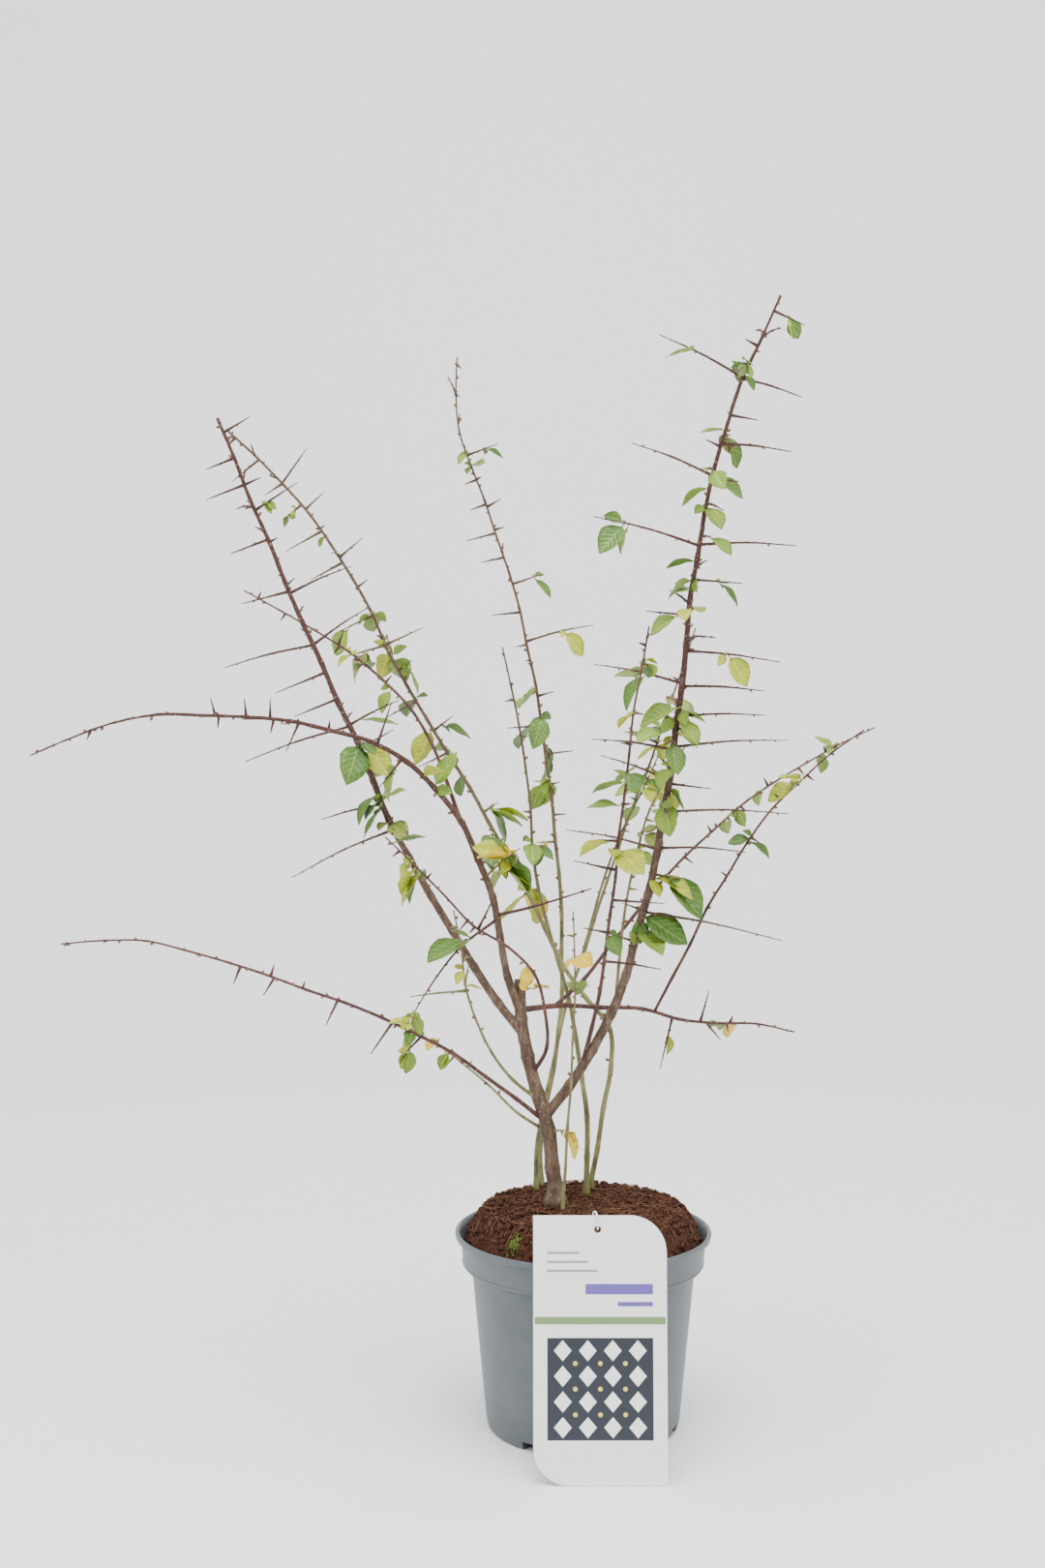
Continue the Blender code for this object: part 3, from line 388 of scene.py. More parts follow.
class Finish:
    """One material, built as expressions."""

    def __init__(self, name):
        self.material = bpy.data.materials.new(name)
        self.material.use_nodes = True
        self.tree = self.material.node_tree
        self.shader = self.tree.nodes["Principled BSDF"]

    def put(self, socket, value):
        if isinstance(value, Value):
            self.tree.links.new(value.socket, socket)
        else:
            socket.default_value = value

    def node(self, kind, settings=None, output=0, **inputs):
        node = self.tree.nodes.new(kind)
        for key, value in (settings or {}).items():
            if key == "stops":
                ramp = node.color_ramp
                while len(ramp.elements) < len(value):
                    ramp.elements.new(0.5)
                for element, (place, colour) in zip(ramp.elements, value):
                    element.position = place
                    element.color = (*colour, 1.0)
            else:
                setattr(node, key, value)
        for key, value in inputs.items():
            index = int(key) if key.isdigit() else key.replace("_", " ")
            self.put(node.inputs[index], value)
        return Value(self, node.outputs[output])

    def place(self):
        return self.node("ShaderNodeTexCoord", output="Object")

    def leaf_place(self):
        return self.node("ShaderNodeUVMap", {"uv_map": "leaf"})

    def grain(self, scale, detail=4.0, rough=0.6, vector=None):
        return self.node("ShaderNodeTexNoise", Vector=vector or self.place(), Scale=scale,
                         Detail=detail, Roughness=rough)

    def stretched(self, scale):
        return self.node("ShaderNodeMapping", Vector=self.place(), Scale=scale)

    def ramp(self, value, *stops):
        return self.node("ShaderNodeValToRGB", {"stops": stops}, Fac=value)

    def mix(self, share, first, second):
        node = self.tree.nodes.new("ShaderNodeMix")
        node.data_type = "RGBA"
        self.put(node.inputs["Factor"], share)
        colours = [s for s in node.inputs if s.type == "RGBA"]
        for socket, value in zip(colours, (first, second)):
            self.put(socket, value if isinstance(value, Value) else (*value, 1.0))
        result = [s for s in node.outputs if s.type == "RGBA"][0]
        return Value(self, result)

    def bump(self, height, distance, strength=0.6):
        normal = self.node("ShaderNodeBump", Height=height, Distance=distance,
                           Strength=strength)
        self.put(self.shader.inputs["Normal"], normal)

    def surface(self, **values):
        for key, value in values.items():
            if isinstance(value, tuple):
                value = (*value, 1.0)
            self.put(self.shader.inputs[key.replace("_", " ")], value)
        return self.material


# %% [markdown]
# ## Bark
#
# Old blackthorn bark is grey-brown with fine cracks and pale specks. Young shoots are
# smooth: dark red where the sun reaches them, olive green elsewhere. Noise stretched
# along the stem's height gives the streaks, and a finer noise gives specks.

# %% Three barks and the bud scales
YOUNG_RED = (0.050, 0.013, 0.010)
SPECK_COLOUR = (0.42, 0.38, 0.30)
STREAK_SCALE = (260.0, 260.0, 60.0)
REDDENS_FROM = 0.36
REDDENS_TO = 0.56


def bark(name, dark, mid, light, specks, rough, reddens=0.0):
    finish = Finish(name)
    streak = finish.grain(1.0, 5.0, 0.65, finish.stretched(STREAK_SCALE))
    cloud = finish.grain(38.0, 3.0)
    colour = finish.ramp(streak * 0.6 + cloud * 0.4, (0.36, dark), (0.5, mid), (0.66, light))
    if reddens:
        height = finish.node("ShaderNodeSeparateXYZ", output="Z", Vector=finish.place())
        young = finish.node("ShaderNodeMapRange", {"clamp": True}, Value=height + cloud * 0.1,
                            From_Min=REDDENS_FROM, From_Max=REDDENS_TO, To_Min=0.0, To_Max=reddens)
        colour = finish.mix(young, colour, YOUNG_RED)
    speck = finish.grain(620.0, 2.0).above(0.66)
    finish.bump(streak, 0.0006, 0.7)
    return finish.surface(Base_Color=finish.mix(speck * specks, colour, SPECK_COLOUR),
                          Roughness=rough, Specular_IOR_Level=0.35)


old_bark = bark("old bark", (0.030, 0.017, 0.011), (0.095, 0.056, 0.034),
                (0.210, 0.150, 0.100), 0.45, 0.75, 0.85)
red_bark = bark("red bark", (0.020, 0.006, 0.005), (0.058, 0.017, 0.012),
                (0.140, 0.055, 0.035), 0.25, 0.50)
green_bark = bark("green bark", (0.060, 0.050, 0.018), (0.150, 0.145, 0.045),
                  (0.260, 0.260, 0.100), 0.25, 0.55, 0.8)
bud_brown = bark("bud scales", (0.060, 0.025, 0.015), (0.150, 0.075, 0.040),
                 (0.260, 0.150, 0.080), 0.2, 0.6)
print("barks:", [m.name for m in (old_bark, red_bark, green_bark, bud_brown)])

# %% [markdown]
# ## Leaves
#
# Late leaves turn from green to yellow spray by spray. Each tint is a material of its own,
# a plain base colour with a paler midrib and side veins that read the leaf's own map, so
# the veins follow each leaf wherever it points.

# %% Leaf tints
SPOT_BROWN = (0.110, 0.035, 0.012)
VEINS_ALONG = 42.0
VEINS_BACK = 26.0
RIB_HALF = 0.035


def leaf_tint(name, deep, fresh, rib, spots=0.0):
    finish = Finish(name)
    across = finish.node("ShaderNodeSeparateXYZ", output="Y", Vector=finish.leaf_place())
    along = finish.node("ShaderNodeSeparateXYZ", output="X", Vector=finish.leaf_place())
    middle = (across - 0.5).size()
    wave = (along * VEINS_ALONG - middle * VEINS_BACK).maths("SINE")
    rib_mask = 1.0 - middle.above(RIB_HALF)
    colour = finish.ramp(finish.grain(55.0), (0.35, deep), (0.68, fresh))
    colour = finish.mix(wave.above(0.86) * 0.35, colour, rib)
    colour = finish.mix(rib_mask * 0.7, colour, rib)
    if spots:
        spot = finish.grain(130.0, 2.0).above(0.62)
        colour = finish.mix(spot * spots, colour, SPOT_BROWN)
    finish.bump(wave, 0.0004, 0.4)
    return finish.surface(Base_Color=colour, Roughness=0.45, Specular_IOR_Level=0.4)


LEAF_TINTS = {
    "deep_green": (leaf_tint("deep green leaf", (0.040, 0.105, 0.008), (0.095, 0.190, 0.016),
                             (0.18, 0.28, 0.05)), 0.28),
    "fresh_green": (leaf_tint("fresh green leaf", (0.105, 0.195, 0.010), (0.205, 0.315, 0.022),
                              (0.33, 0.42, 0.08)), 0.40),
    "lime": (leaf_tint("lime leaf", (0.270, 0.330, 0.012), (0.450, 0.480, 0.025),
                       (0.60, 0.58, 0.10), 0.2), 0.16),
    "yellow": (leaf_tint("yellow leaf", (0.600, 0.370, 0.008), (0.780, 0.560, 0.020),
                         (0.80, 0.64, 0.10), 0.3), 0.10),
    "spotted": (leaf_tint("spotted leaf", (0.090, 0.150, 0.020), (0.230, 0.270, 0.040),
                          (0.34, 0.34, 0.10), 0.9), 0.08),
}
print("leaf tints:", list(LEAF_TINTS))

# %% [markdown]
# ## Pot, compost and label
#
# The pot is moulded grey plastic with a satin skin. The compost is damp red-brown fibre.
# The label is smooth white card with a printed face.

# %% Plastic, compost and card
def pot_plastic():
    finish = Finish("grey moulded plastic")
    cloud = finish.grain(22.0, 3.0)
    dust = finish.grain(900.0, 2.0)
    colour = finish.ramp(cloud, (0.35, (0.066, 0.080, 0.090)), (0.7, (0.095, 0.111, 0.122)))
    finish.bump(dust, 0.0002, 0.12)
    return finish.surface(Base_Color=colour, Roughness=cloud * 0.2 + 0.34,
                          Specular_IOR_Level=0.45)


def compost(name, dark, mid, light):
    finish = Finish(name)
    fine = finish.grain(420.0, 6.0, 0.7)
    colour = finish.ramp(fine, (0.34, dark), (0.5, mid), (0.7, light))
    finish.bump(fine, 0.002, 0.9)
    return finish.surface(Base_Color=colour, Roughness=0.95, Specular_IOR_Level=0.2)


def plain(name, colour, rough):
    return Finish(name).surface(Base_Color=colour, Roughness=rough)


pot_grey = pot_plastic()
soil_brown = compost("compost", (0.010, 0.004, 0.002), (0.048, 0.016, 0.008), (0.135, 0.052, 0.026))
fibre_brown = compost("fibre", (0.070, 0.028, 0.015), (0.150, 0.068, 0.036), (0.300, 0.160, 0.090))
moss_green = compost("moss", (0.030, 0.050, 0.008), (0.080, 0.130, 0.018), (0.160, 0.220, 0.040))
card_white = plain("white card", (0.80, 0.80, 0.78), 0.35)
print("pot, compost and card finishes are ready")

# %% [markdown]
# ## The rule of growth
#
# A stem's way is smoothed, and its nodes are spread evenly along it, each a little off the
# line. Spurs leave it almost square at the listed places. A list of taken room stops any
# twig or leaf from touching another limb. The draws come in the solids' own order, so the
# same spurs and leaves come out.

# %% Ways and limbs
def smooth_way(way, samples=12):
    """A smooth curve through the way points, by cubic pieces that share their slopes."""
    points = [Vector(point) * MM for point in way]
    spans = [(b - a).length for a, b in zip(points, points[1:])]
    slopes = []
    for i in range(len(points)):
        if i == 0:
            slopes.append((points[1] - points[0]) / spans[0])
        elif i == len(points) - 1:
            slopes.append((points[-1] - points[-2]) / spans[-1])
        else:
            before = (points[i] - points[i - 1]) / spans[i - 1]
            after = (points[i + 1] - points[i]) / spans[i]
            whole = spans[i - 1] + spans[i]
            slopes.append((before * spans[i] + after * spans[i - 1]) / whole)
    curve = []
    for i, span in enumerate(spans):
        for k in range(samples):
            t = k / samples
            a = 2 * t**3 - 3 * t**2 + 1
            b = (t**3 - 2 * t**2 + t) * span
            c = -2 * t**3 + 3 * t**2
            d = (t**3 - t**2) * span
            curve.append(points[i] * a + slopes[i] * b + points[i + 1] * c + slopes[i + 1] * d)
    curve.append(points[-1])
    return curve


class Limb:
    """A stem's nodes from root to tip, with the radius at each."""

    def __init__(self, points, radii):
        self.points = points
        self.radii = radii
        self.reach = [0.0]
        for a, b in zip(points, points[1:]):
            self.reach.append(self.reach[-1] + (b - a).length)
        self.length = self.reach[-1]

    def segment(self, share):
        distance = min(max(share, 0.0), 1.0) * self.length
        for i in range(len(self.points) - 1):
            if distance <= self.reach[i + 1]:
                break
        span = self.reach[i + 1] - self.reach[i]
        return i, (distance - self.reach[i]) / span

    def at(self, share):
        """The point, direction, left side, back side and radius at a share of the length."""
        i, t = self.segment(share)
        a, b = self.points[i], self.points[i + 1]
        along = (b - a).normalized()
        left = along.cross(Vector((0.0, 1.0, 0.0))).normalized()
        back = left.cross(along)
        radius = self.radii[i] * (1 - t) + self.radii[i + 1] * t
        return a.lerp(b, t), along, left, back, radius

    def nearest(self, point):
        """The point on the limb's middle line that is nearest to a given one, and the
        limb's radius there."""
        best, thickness = None, 0.0
        for i, (a, b) in enumerate(zip(self.points, self.points[1:])):
            line = b - a
            t = min(max((point - a).dot(line) / line.length_squared, 0.0), 1.0)
            spot = a.lerp(b, t)
            if best is None or (spot - point).length < (best - point).length:
                best = spot
                thickness = self.radii[i] * (1 - t) + self.radii[i + 1] * t
        return best, thickness


def make_limb(stem, parent, rng):
    """Even nodes along the stem's way, each a little off the line, as a real stem kinks."""
    way = list(stem.way)
    if parent is not None:
        root_spot, parent_radius = parent.nearest(Vector(way[0]) * MM)
        way[0] = tuple(root_spot / MM)
    curve = Limb(smooth_way(way), [0.0] * (12 * (len(way) - 1) + 1))
    count = max(2, round(curve.length / NODE_SPACING))
    turn = rng.uniform(0.0, math.tau)
    points, radii = [], []
    for i in range(count + 1):
        spot, along, left, back, radius = curve.at(i / count)
        if 0 < i < count:
            turn += GOLDEN_ANGLE
            off = KINK * NODE_SPACING * rng.uniform(0.5, 1.0)
            spot = spot + (left * math.cos(turn) + back * math.sin(turn)) * off
        points.append(spot)
        share = i / count
        root, tip = stem.thick
        radii.append((root + (tip - root) * share**0.9) * MM)
    if parent is not None:
        radii[0] = min(radii[0] * COLLAR, parent_radius * ROOT_SHARE)
    return Limb(points, radii)


def cut_share(limb, share):
    """The share of the length at the middle of the straight run that holds a given one."""
    if share in (0.0, 1.0):
        return share
    i, _ = limb.segment(share)
    return (limb.reach[i] + limb.reach[i + 1]) / 2 / limb.length


def rooted(limb, flare):
    """The foot stands square on the soil and spreads there by its root flare."""
    foot = limb.points[0]
    height = FLARE_HEIGHT * (flare - 1)
    rise = Vector((0.0, 0.0, height / 2))
    points = [foot, foot + rise, foot + 2 * rise + (limb.points[1] - foot) * 0.02]
    radii = [limb.radii[0] * (1 + (flare - 1) * part) for part in (1.0, 0.45, 0.1)]
    return Limb(points + limb.points[1:], radii + limb.radii[1:])


# %% Room, spurs and leaves
class Space:
    """The room that is taken, as balls along every limb, twig and leaf."""

    def __init__(self):
        self.centres = np.zeros((0, 3))
        self.radii = np.zeros(0)
        self.owners = np.zeros(0, dtype=int)

    def balls(self, points, radii):
        centres, sizes = [], []
        for a, b, ra, rb in zip(points, points[1:], radii, radii[1:]):
            steps = max(1, math.ceil((b - a).length / 0.003))
            for k in range(steps):
                centres.append(a.lerp(b, k / steps))
                sizes.append(ra + (rb - ra) * k / steps)
        centres.append(points[-1])
        sizes.append(radii[-1])
        return np.array([tuple(c) for c in centres]), np.array(sizes)

    def add(self, points, radii, owner):
        centres, sizes = self.balls(points, radii)
        self.centres = np.vstack((self.centres, centres))
        self.radii = np.concatenate((self.radii, sizes))
        self.owners = np.concatenate((self.owners, np.full(len(sizes), owner)))

    def is_free(self, points, radii, owner, clearance):
        centres, sizes = self.balls(points, radii)
        others = self.owners != owner
        if not others.any():
            return True
        apart = np.linalg.norm(centres[:, None, :] - self.centres[None, others, :], axis=2)
        room = apart - sizes[:, None] - self.radii[None, others]
        return bool(room.min() > clearance)


def spur_points(root, along, side, length, rng):
    """A spur leaves its stem almost square, runs out and droops a little."""
    lean = SPUR_LEAN + rng.uniform(-0.10, 0.10)
    out = side * math.sin(lean) + along * math.cos(lean)
    count = 1 if length < 0.040 else 2
    bow = side.cross(along) * rng.uniform(-0.05, 0.05)
    points = []
    for k in range(count + 1):
        share = k / count
        sag = Vector((0.0, 0.0, -SPUR_DROOP)) * length * share**2
        points.append(root + out * length * share + sag + bow * length * share * (1 - share) * 2)
    radii = [SPUR_BASE + (SPUR_TIP - SPUR_BASE) * (k / count) for k in range(count + 1)]
    return points, radii


def grow_spurs(stem, limb, start, owner, space, rng):
    """Spurs at even places: the listed lengths to left and right, and the same lengths
    dealt out again in another order to the front and the back."""
    spurs = []
    lists = (
        (stem.left, 0.0, 1.0, 1),
        (stem.right, math.pi, 1.0, 1),
        (rng.sample(stem.left, len(stem.left)), math.pi / 2, DEPTH_SPUR_SHARE, DEPTH_SHORTEST),
        (rng.sample(stem.right, len(stem.right)), -math.pi / 2, DEPTH_SPUR_SHARE, DEPTH_SHORTEST),
    )
    for number, (lengths, turn, share, shortest) in enumerate(lists):
        for i, listed in enumerate(lengths):
            place = (i + 0.5 + 0.25 * (number > 1)) / len(lengths)
            place += rng.uniform(-0.12, 0.12) / len(lengths)
            angle = turn + rng.uniform(-0.3, 0.3)
            length = listed * MM * share * rng.uniform(0.95, 1.05)
            if listed < shortest or place > 0.985:
                continue
            along_stem = start + (1.0 - start) * place
            root, along, left, back, radius = limb.at(along_stem)
            side = left * math.cos(angle) + back * math.sin(angle)
            points, radii = spur_points(root, along, side, length + radius, rng)
            if space.is_free(points, radii, owner, TWIG_CLEARANCE):
                space.add(points, radii, owner)
                spurs.append((place, points, radii))
    return spurs


def leaf_frame(base, out, length, rng):
    """The leaf's place: x along it, y across it, z out of its upper face."""
    along = (out + Vector((0.0, 0.0, -rng.uniform(0.3, 1.5)))).normalized()
    up = Vector((rng.uniform(-0.5, 0.5), rng.uniform(-0.8, 0.4), 1.0))
    across = up.cross(along).normalized()
    up = along.cross(across)
    start = base - along * LEAF_SUNK
    turn = Matrix((along, across, up)).transposed().to_4x4()
    return Matrix.Translation(start) @ turn, length + LEAF_SUNK


def grow_leaves(stem, limb, start, spurs, owner, space, rng):
    """Leaves stand in the listed stretches, on the stem or on the spurs beside them."""
    leaves = []
    for first, last, count, size in stem.leaves:
        for _ in range(count):
            for _try in range(6):
                place = rng.uniform(first, last)
                near = [s for s in spurs if abs(s[0] - place) < 0.08
                        and (s[1][-1] - s[1][0]).length > 0.012]
                if near and rng.random() < 0.6:
                    points = rng.choice(near)[1]
                    share = rng.uniform(0.2, 0.8) * (len(points) - 1)
                    i = int(share)
                    base = points[i].lerp(points[i + 1], share - i)
                    out = (points[i + 1] - points[i]).normalized() * 0.7
                else:
                    base, along, left, back, radius = limb.at(start + (1.0 - start) * place)
                    angle = rng.uniform(0.0, math.tau)
                    out = left * math.cos(angle) * 1.3 + back * math.sin(angle) + along * 0.3
                out = out + Vector((rng.uniform(-0.4, 0.4), rng.uniform(-0.4, 0.4), 0.0))
                length = size * MM * rng.uniform(0.75, 1.1)
                frame, length = leaf_frame(base, out, length, rng)
                width = length * LEAF_WIDTH_SHARE
                middle = [frame @ Vector((length * k, 0.0, 0.0)) for k in (0.12, 0.5, 1.0)]
                radii = [0.0005, width / 2, 0.0005]
                if space.is_free(middle, radii, owner, TWIG_CLEARANCE):
                    space.add(middle, radii, owner)
                    leaves.append((frame, length, width))
                    break
    return leaves


# %% Grow the plant
Grown = namedtuple("Grown", "stem limb spurs leaves")


def grow_plant():
    limbs, space, grown = {}, Space(), {}
    for owner, (key, stem) in enumerate(STEMS.items()):
        rng = random.Random(SEED + owner)
        limb = make_limb(stem, limbs.get(stem.parent), rng)
        if stem.parent is None:
            limb = rooted(limb, TRUNK_FLARE if key == "trunk" else CANE_FLARE)
        limbs[key] = limb
        space.add(limb.points, limb.radii, owner)
    for owner, (key, stem) in enumerate(STEMS.items()):
        rng = random.Random(SEED + 100 + owner)
        limb, start = limbs[key], 0.0
        spurs, leaves = [], []
        for name, share in stem.parts:
            end = cut_share(limb, share)
            if "crown" in name:
                spurs = grow_spurs(stem, limb, start, owner, space, rng)
                leaves = grow_leaves(stem, limb, start, spurs, owner, space, rng)
            start = end
        grown[key] = Grown(stem, limb, spurs, leaves)
    return grown


grown = grow_plant()
print("spurs:", sum(len(g.spurs) for g in grown.values()),
      "leaves of the solids:", sum(len(g.leaves) for g in grown.values()))

# %% [markdown]
# ## Wood
#
# A limb is a ring that is extruded from point to point and scaled by the limb's thickness.
# The points between two nodes follow a smooth curve. Each node swells a little, as a bud
# sits there, and noise roughens the skin.

# %% Skin a limb
def finer(points, radii, step):
    """The same limb in shorter steps, smooth through its nodes."""
    way, thickness = [], []
    last = len(points) - 1
    for i in range(last):
        a, b = points[i], points[i + 1]
        before = points[max(i - 1, 0)]
        after = points[min(i + 2, last)]
        count = max(1, round((b - a).length / step))
        for k in range(count):
            t = k / count
            bend_a = (b - before) * 0.5 if i > 0 else b - a
            bend_b = (after - a) * 0.5 if i + 1 < last else b - a
            spot = (a * (2 * t**3 - 3 * t**2 + 1) + bend_a * (t**3 - 2 * t**2 + t)
                    + b * (-2 * t**3 + 3 * t**2) + bend_b * (t**3 - t**2))
            way.append(spot)
            node = min(t, 1 - t) * (b - a).length
            swell = 1 + NODE_SWELL * math.exp(-(node / NODE_SWELL_LENGTH) ** 2)
            thickness.append((radii[i] * (1 - t) + radii[i + 1] * t) * swell)
    way.append(points[-1])
    thickness.append(radii[-1])
    return way, thickness


def skin(bm, points, radii, sides, relief=0.0):
    """A closed tapering skin along the points."""
    along = (points[1] - points[0]).normalized()
    turn = along.to_track_quat("Z", "Y")
    start = Matrix.LocRotScale(points[0], turn, Vector((radii[0],) * 3))
    ring = bmesh.ops.create_circle(bm, cap_ends=True, radius=1.0, segments=sides, matrix=start)
    verts = ring["verts"]
    edges = list({edge for vert in verts for edge in vert.link_edges})
    made = list(verts)
    place = start
    for i in range(1, len(points)):
        onward = points[min(i + 1, len(points) - 1)] - points[i - 1]
        turn = along.rotation_difference(onward.normalized()) @ turn
        along = onward.normalized()
        new_place = Matrix.LocRotScale(points[i], turn, Vector((radii[i],) * 3))
        grown_ring = bmesh.ops.extrude_edge_only(bm, edges=edges)["geom"]
        verts = [g for g in grown_ring if isinstance(g, bmesh.types.BMVert)]
        fresh = set(verts)
        edges = [g for g in grown_ring if isinstance(g, bmesh.types.BMEdge)
                 and g.verts[0] in fresh and g.verts[1] in fresh]
        bmesh.ops.transform(bm, matrix=new_place @ place.inverted(), verts=verts)
        place = new_place
        made += verts
    bmesh.ops.edgeloop_fill(bm, edges=edges)
    if relief:
        for vert in made:
            wave = noise.noise(vert.co * RELIEF_FINE) + 0.6 * noise.noise(vert.co * RELIEF_BROAD)
            spot = min(points, key=lambda p: (p - vert.co).length_squared)
            vert.co += (vert.co - spot).normalized() * wave * relief
    return made


def bud(bm, spot, out, size):
    """A small egg-shaped bud that points outwards."""
    turn = out.to_track_quat("Z", "Y")
    place = Matrix.LocRotScale(spot, turn, Vector((size * 0.62, size * 0.62, size)))
    bmesh.ops.create_icosphere(bm, subdivisions=1, radius=1.0, matrix=place)


def piece_from(bm, name, material, nodes=(), smooth=True):
    """A finished piece of the plant or the pot, riding on the frame."""
    bmesh.ops.recalc_face_normals(bm, faces=bm.faces)
    mesh = bpy.data.meshes.new(name)
    bm.to_mesh(mesh)
    bm.free()
    if smooth:
        mesh.shade_smooth()
    piece = bpy.data.objects.new(name, mesh)
    bpy.context.scene.collection.objects.link(piece)
    mesh.materials.append(material)
    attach(piece, "root")
    if nodes:
        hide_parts(*nodes)
    print(name, "faces:", len(mesh.polygons))
    return piece


# %% [markdown]
# ## Limbs by their bark
#
# The trunk, its leader and the thick boughs wear old bark. Younger limbs are red or green.
# Each kind becomes one piece, which stands for the solids of its limbs and their crowns.

# %% Grow the wood
OLD_WOOD = ("trunk", "right", "left", "arch")
SPUR_STEP = 0.007
SPUR_STOUTNESS = (1.05, 1.3)
THICK_LIMB = 0.0025
FULL_RELIEF_RADIUS = 0.004
RED_WOOD = ("level", "rising", "side", "inner", "reaching", "drooping", "cross", "low", "hooked")


def wood_piece(name, keys, material, smallest_step, relief):
    bm = bmesh.new()
    nodes = []
    for key in keys:
        stem, limb, spurs, _ = grown[key]
        rng = random.Random(SEED + 500 + list(STEMS).index(key))
        nodes += [part for part, _ in stem.parts]
        way, thickness = finer(limb.points, limb.radii, smallest_step)
        sides = 16 if key == "trunk" else 10 if limb.radii[0] > THICK_LIMB else 8
        skin(bm, way, thickness, sides, relief * min(1.0, limb.radii[0] / FULL_RELIEF_RADIUS))
        for _, points, radii in spurs:
            way, thickness = finer(points, radii, SPUR_STEP)
            skin(bm, way, [t * rng.uniform(*SPUR_STOUTNESS) for t in thickness], 5)
    return piece_from(bm, name, material, nodes)


def buds_piece(name, keys):
    """Buds in pairs and clusters along the stems and the spurs."""
    bm = bmesh.new()
    for key in keys:
        stem, limb, spurs, _ = grown[key]
        rng = random.Random(SEED + 700 + list(STEMS).index(key))
        turn = rng.uniform(0.0, math.tau)
        bare = cut_share(limb, stem.parts[0][1]) * 0.6 if len(stem.parts) > 1 else 0.6
        steps = int(limb.length * (1 - bare) / BUD_SPACING)
        for i in range(steps):
            share = bare + (1 - bare) * (i + 0.5) / max(steps, 1)
            spot, along, left, back, radius = limb.at(share)
            turn += GOLDEN_ANGLE
            out = left * math.cos(turn) + back * math.sin(turn)
            size = BUD_SIZE * rng.uniform(0.7, 1.2)
            bud(bm, spot + out * (radius + size * 0.3), (out + along * 0.7).normalized(), size)
        for _, points, radii in spurs:
            spur = Limb(points, radii)
            count = int(spur.length / SPUR_BUD_SPACING)
            for i in range(1, count):
                spot, along, left, back, radius = spur.at(i / count)
                turn += GOLDEN_ANGLE
                out = left * math.cos(turn) + back * math.sin(turn)
                size = BUD_SIZE * rng.uniform(0.45, 0.8)
                bud(bm, spot + out * (radius + size * 0.25), (out + along).normalized(), size)
    return piece_from(bm, name, bud_brown)


GREEN_WOOD = tuple(key for key in STEMS if key not in OLD_WOOD + RED_WOOD)
wood_piece("old_wood", OLD_WOOD, old_bark, 0.004, 0.00035)
wood_piece("red_wood", RED_WOOD, red_bark, 0.005, 0.00012)
wood_piece("green_wood", GREEN_WOOD, green_bark, 0.005, 0.00012)
buds_piece("buds", [key for key in STEMS if key != "trunk"])

# %% [markdown]
# ## Leaf blades
#
# A blackthorn leaf is a small oval, widest beyond its middle, with a fine saw edge and a
# fold along its rib. A grid of a few squares takes that outline when its rows are scaled
# by the leaf's width. A short stalk joins it to the twig. Each leaf of the solids gets a
# full leaf in its place, with one or two small ones of the same spray beside it.

# %% One leaf
LEAF_FOLDS = (0.10, 0.32)
LEAF_CURLS = (-0.10, 0.35)
LEAF_TWIST = 0.5
LEAF_TOOTH = 0.05
LEAF_WAVE = 0.012
LEAF_TIP_HALF = 0.0004
STALK_RADII = (0.0005, 0.0004)


def leaf_blade(bm, place, length, width, rng):
    uv = bm.loops.layers.uv.get("leaf") or bm.loops.layers.uv.new("leaf")
    grid = bmesh.ops.create_grid(bm, x_segments=7, y_segments=4, size=0.5)["verts"]
    fold, curl = rng.uniform(*LEAF_FOLDS), rng.uniform(*LEAF_CURLS)
    twist = rng.uniform(-LEAF_TWIST, LEAF_TWIST)
    stalk = min(STALK, length * 0.2)
    blade = length - stalk
    faces = list({face for vert in grid for face in vert.link_faces})
    for face in faces:
        for loop in face.loops:
            loop[uv].uv = (loop.vert.co.x + 0.5, loop.vert.co.y + 0.5)
    for i, vert in enumerate(grid):
        share, side = vert.co.x + 0.5, vert.co.y * 2
        half = 0.5 * width * math.sin(math.pi * share**0.85) ** 0.75 if 0 < share < 1 else 0.0
        half = max(half, LEAF_TIP_HALF)
        saw = 1.0 + (LEAF_TOOTH if abs(side) > 0.9 and i % 2 else 0.0)
        x = stalk + blade * share
        y = side * half * saw
        z = abs(side) * half * fold * 2 - curl * blade * share**2 * 0.5
        z += math.sin(share * 9 + side * 2) * length * LEAF_WAVE
        turn = twist * share
        vert.co = place @ Vector((x, y * math.cos(turn) - z * math.sin(turn),
                                  y * math.sin(turn) + z * math.cos(turn)))
    bmesh.ops.solidify(bm, geom=faces, thickness=LEAF_SHEET)
    stalk_points = [place @ Vector((0.0, 0.0, 0.0)), place @ Vector((stalk * 1.6, 0.0, 0.0))]
    skin(bm, stalk_points, list(STALK_RADII), 4)


# %% Leaves by tint
GREEN_KINDS = ("deep_green", "fresh_green", "lime", "spotted")
YELLOW_SPRAYS = ("fork_sprig", "leader_sprig")


def tint_for(rng, key, low):
    """Sprays on the old wood have turned yellow, and those low down are turning."""
    if key in YELLOW_SPRAYS:
        return "yellow"
    if low and rng.random() < 0.35:
        return rng.choice(("yellow", "lime", "lime"))
    weights = [LEAF_TINTS[kind][1] for kind in GREEN_KINDS]
    return rng.choices(GREEN_KINDS, weights)[0]


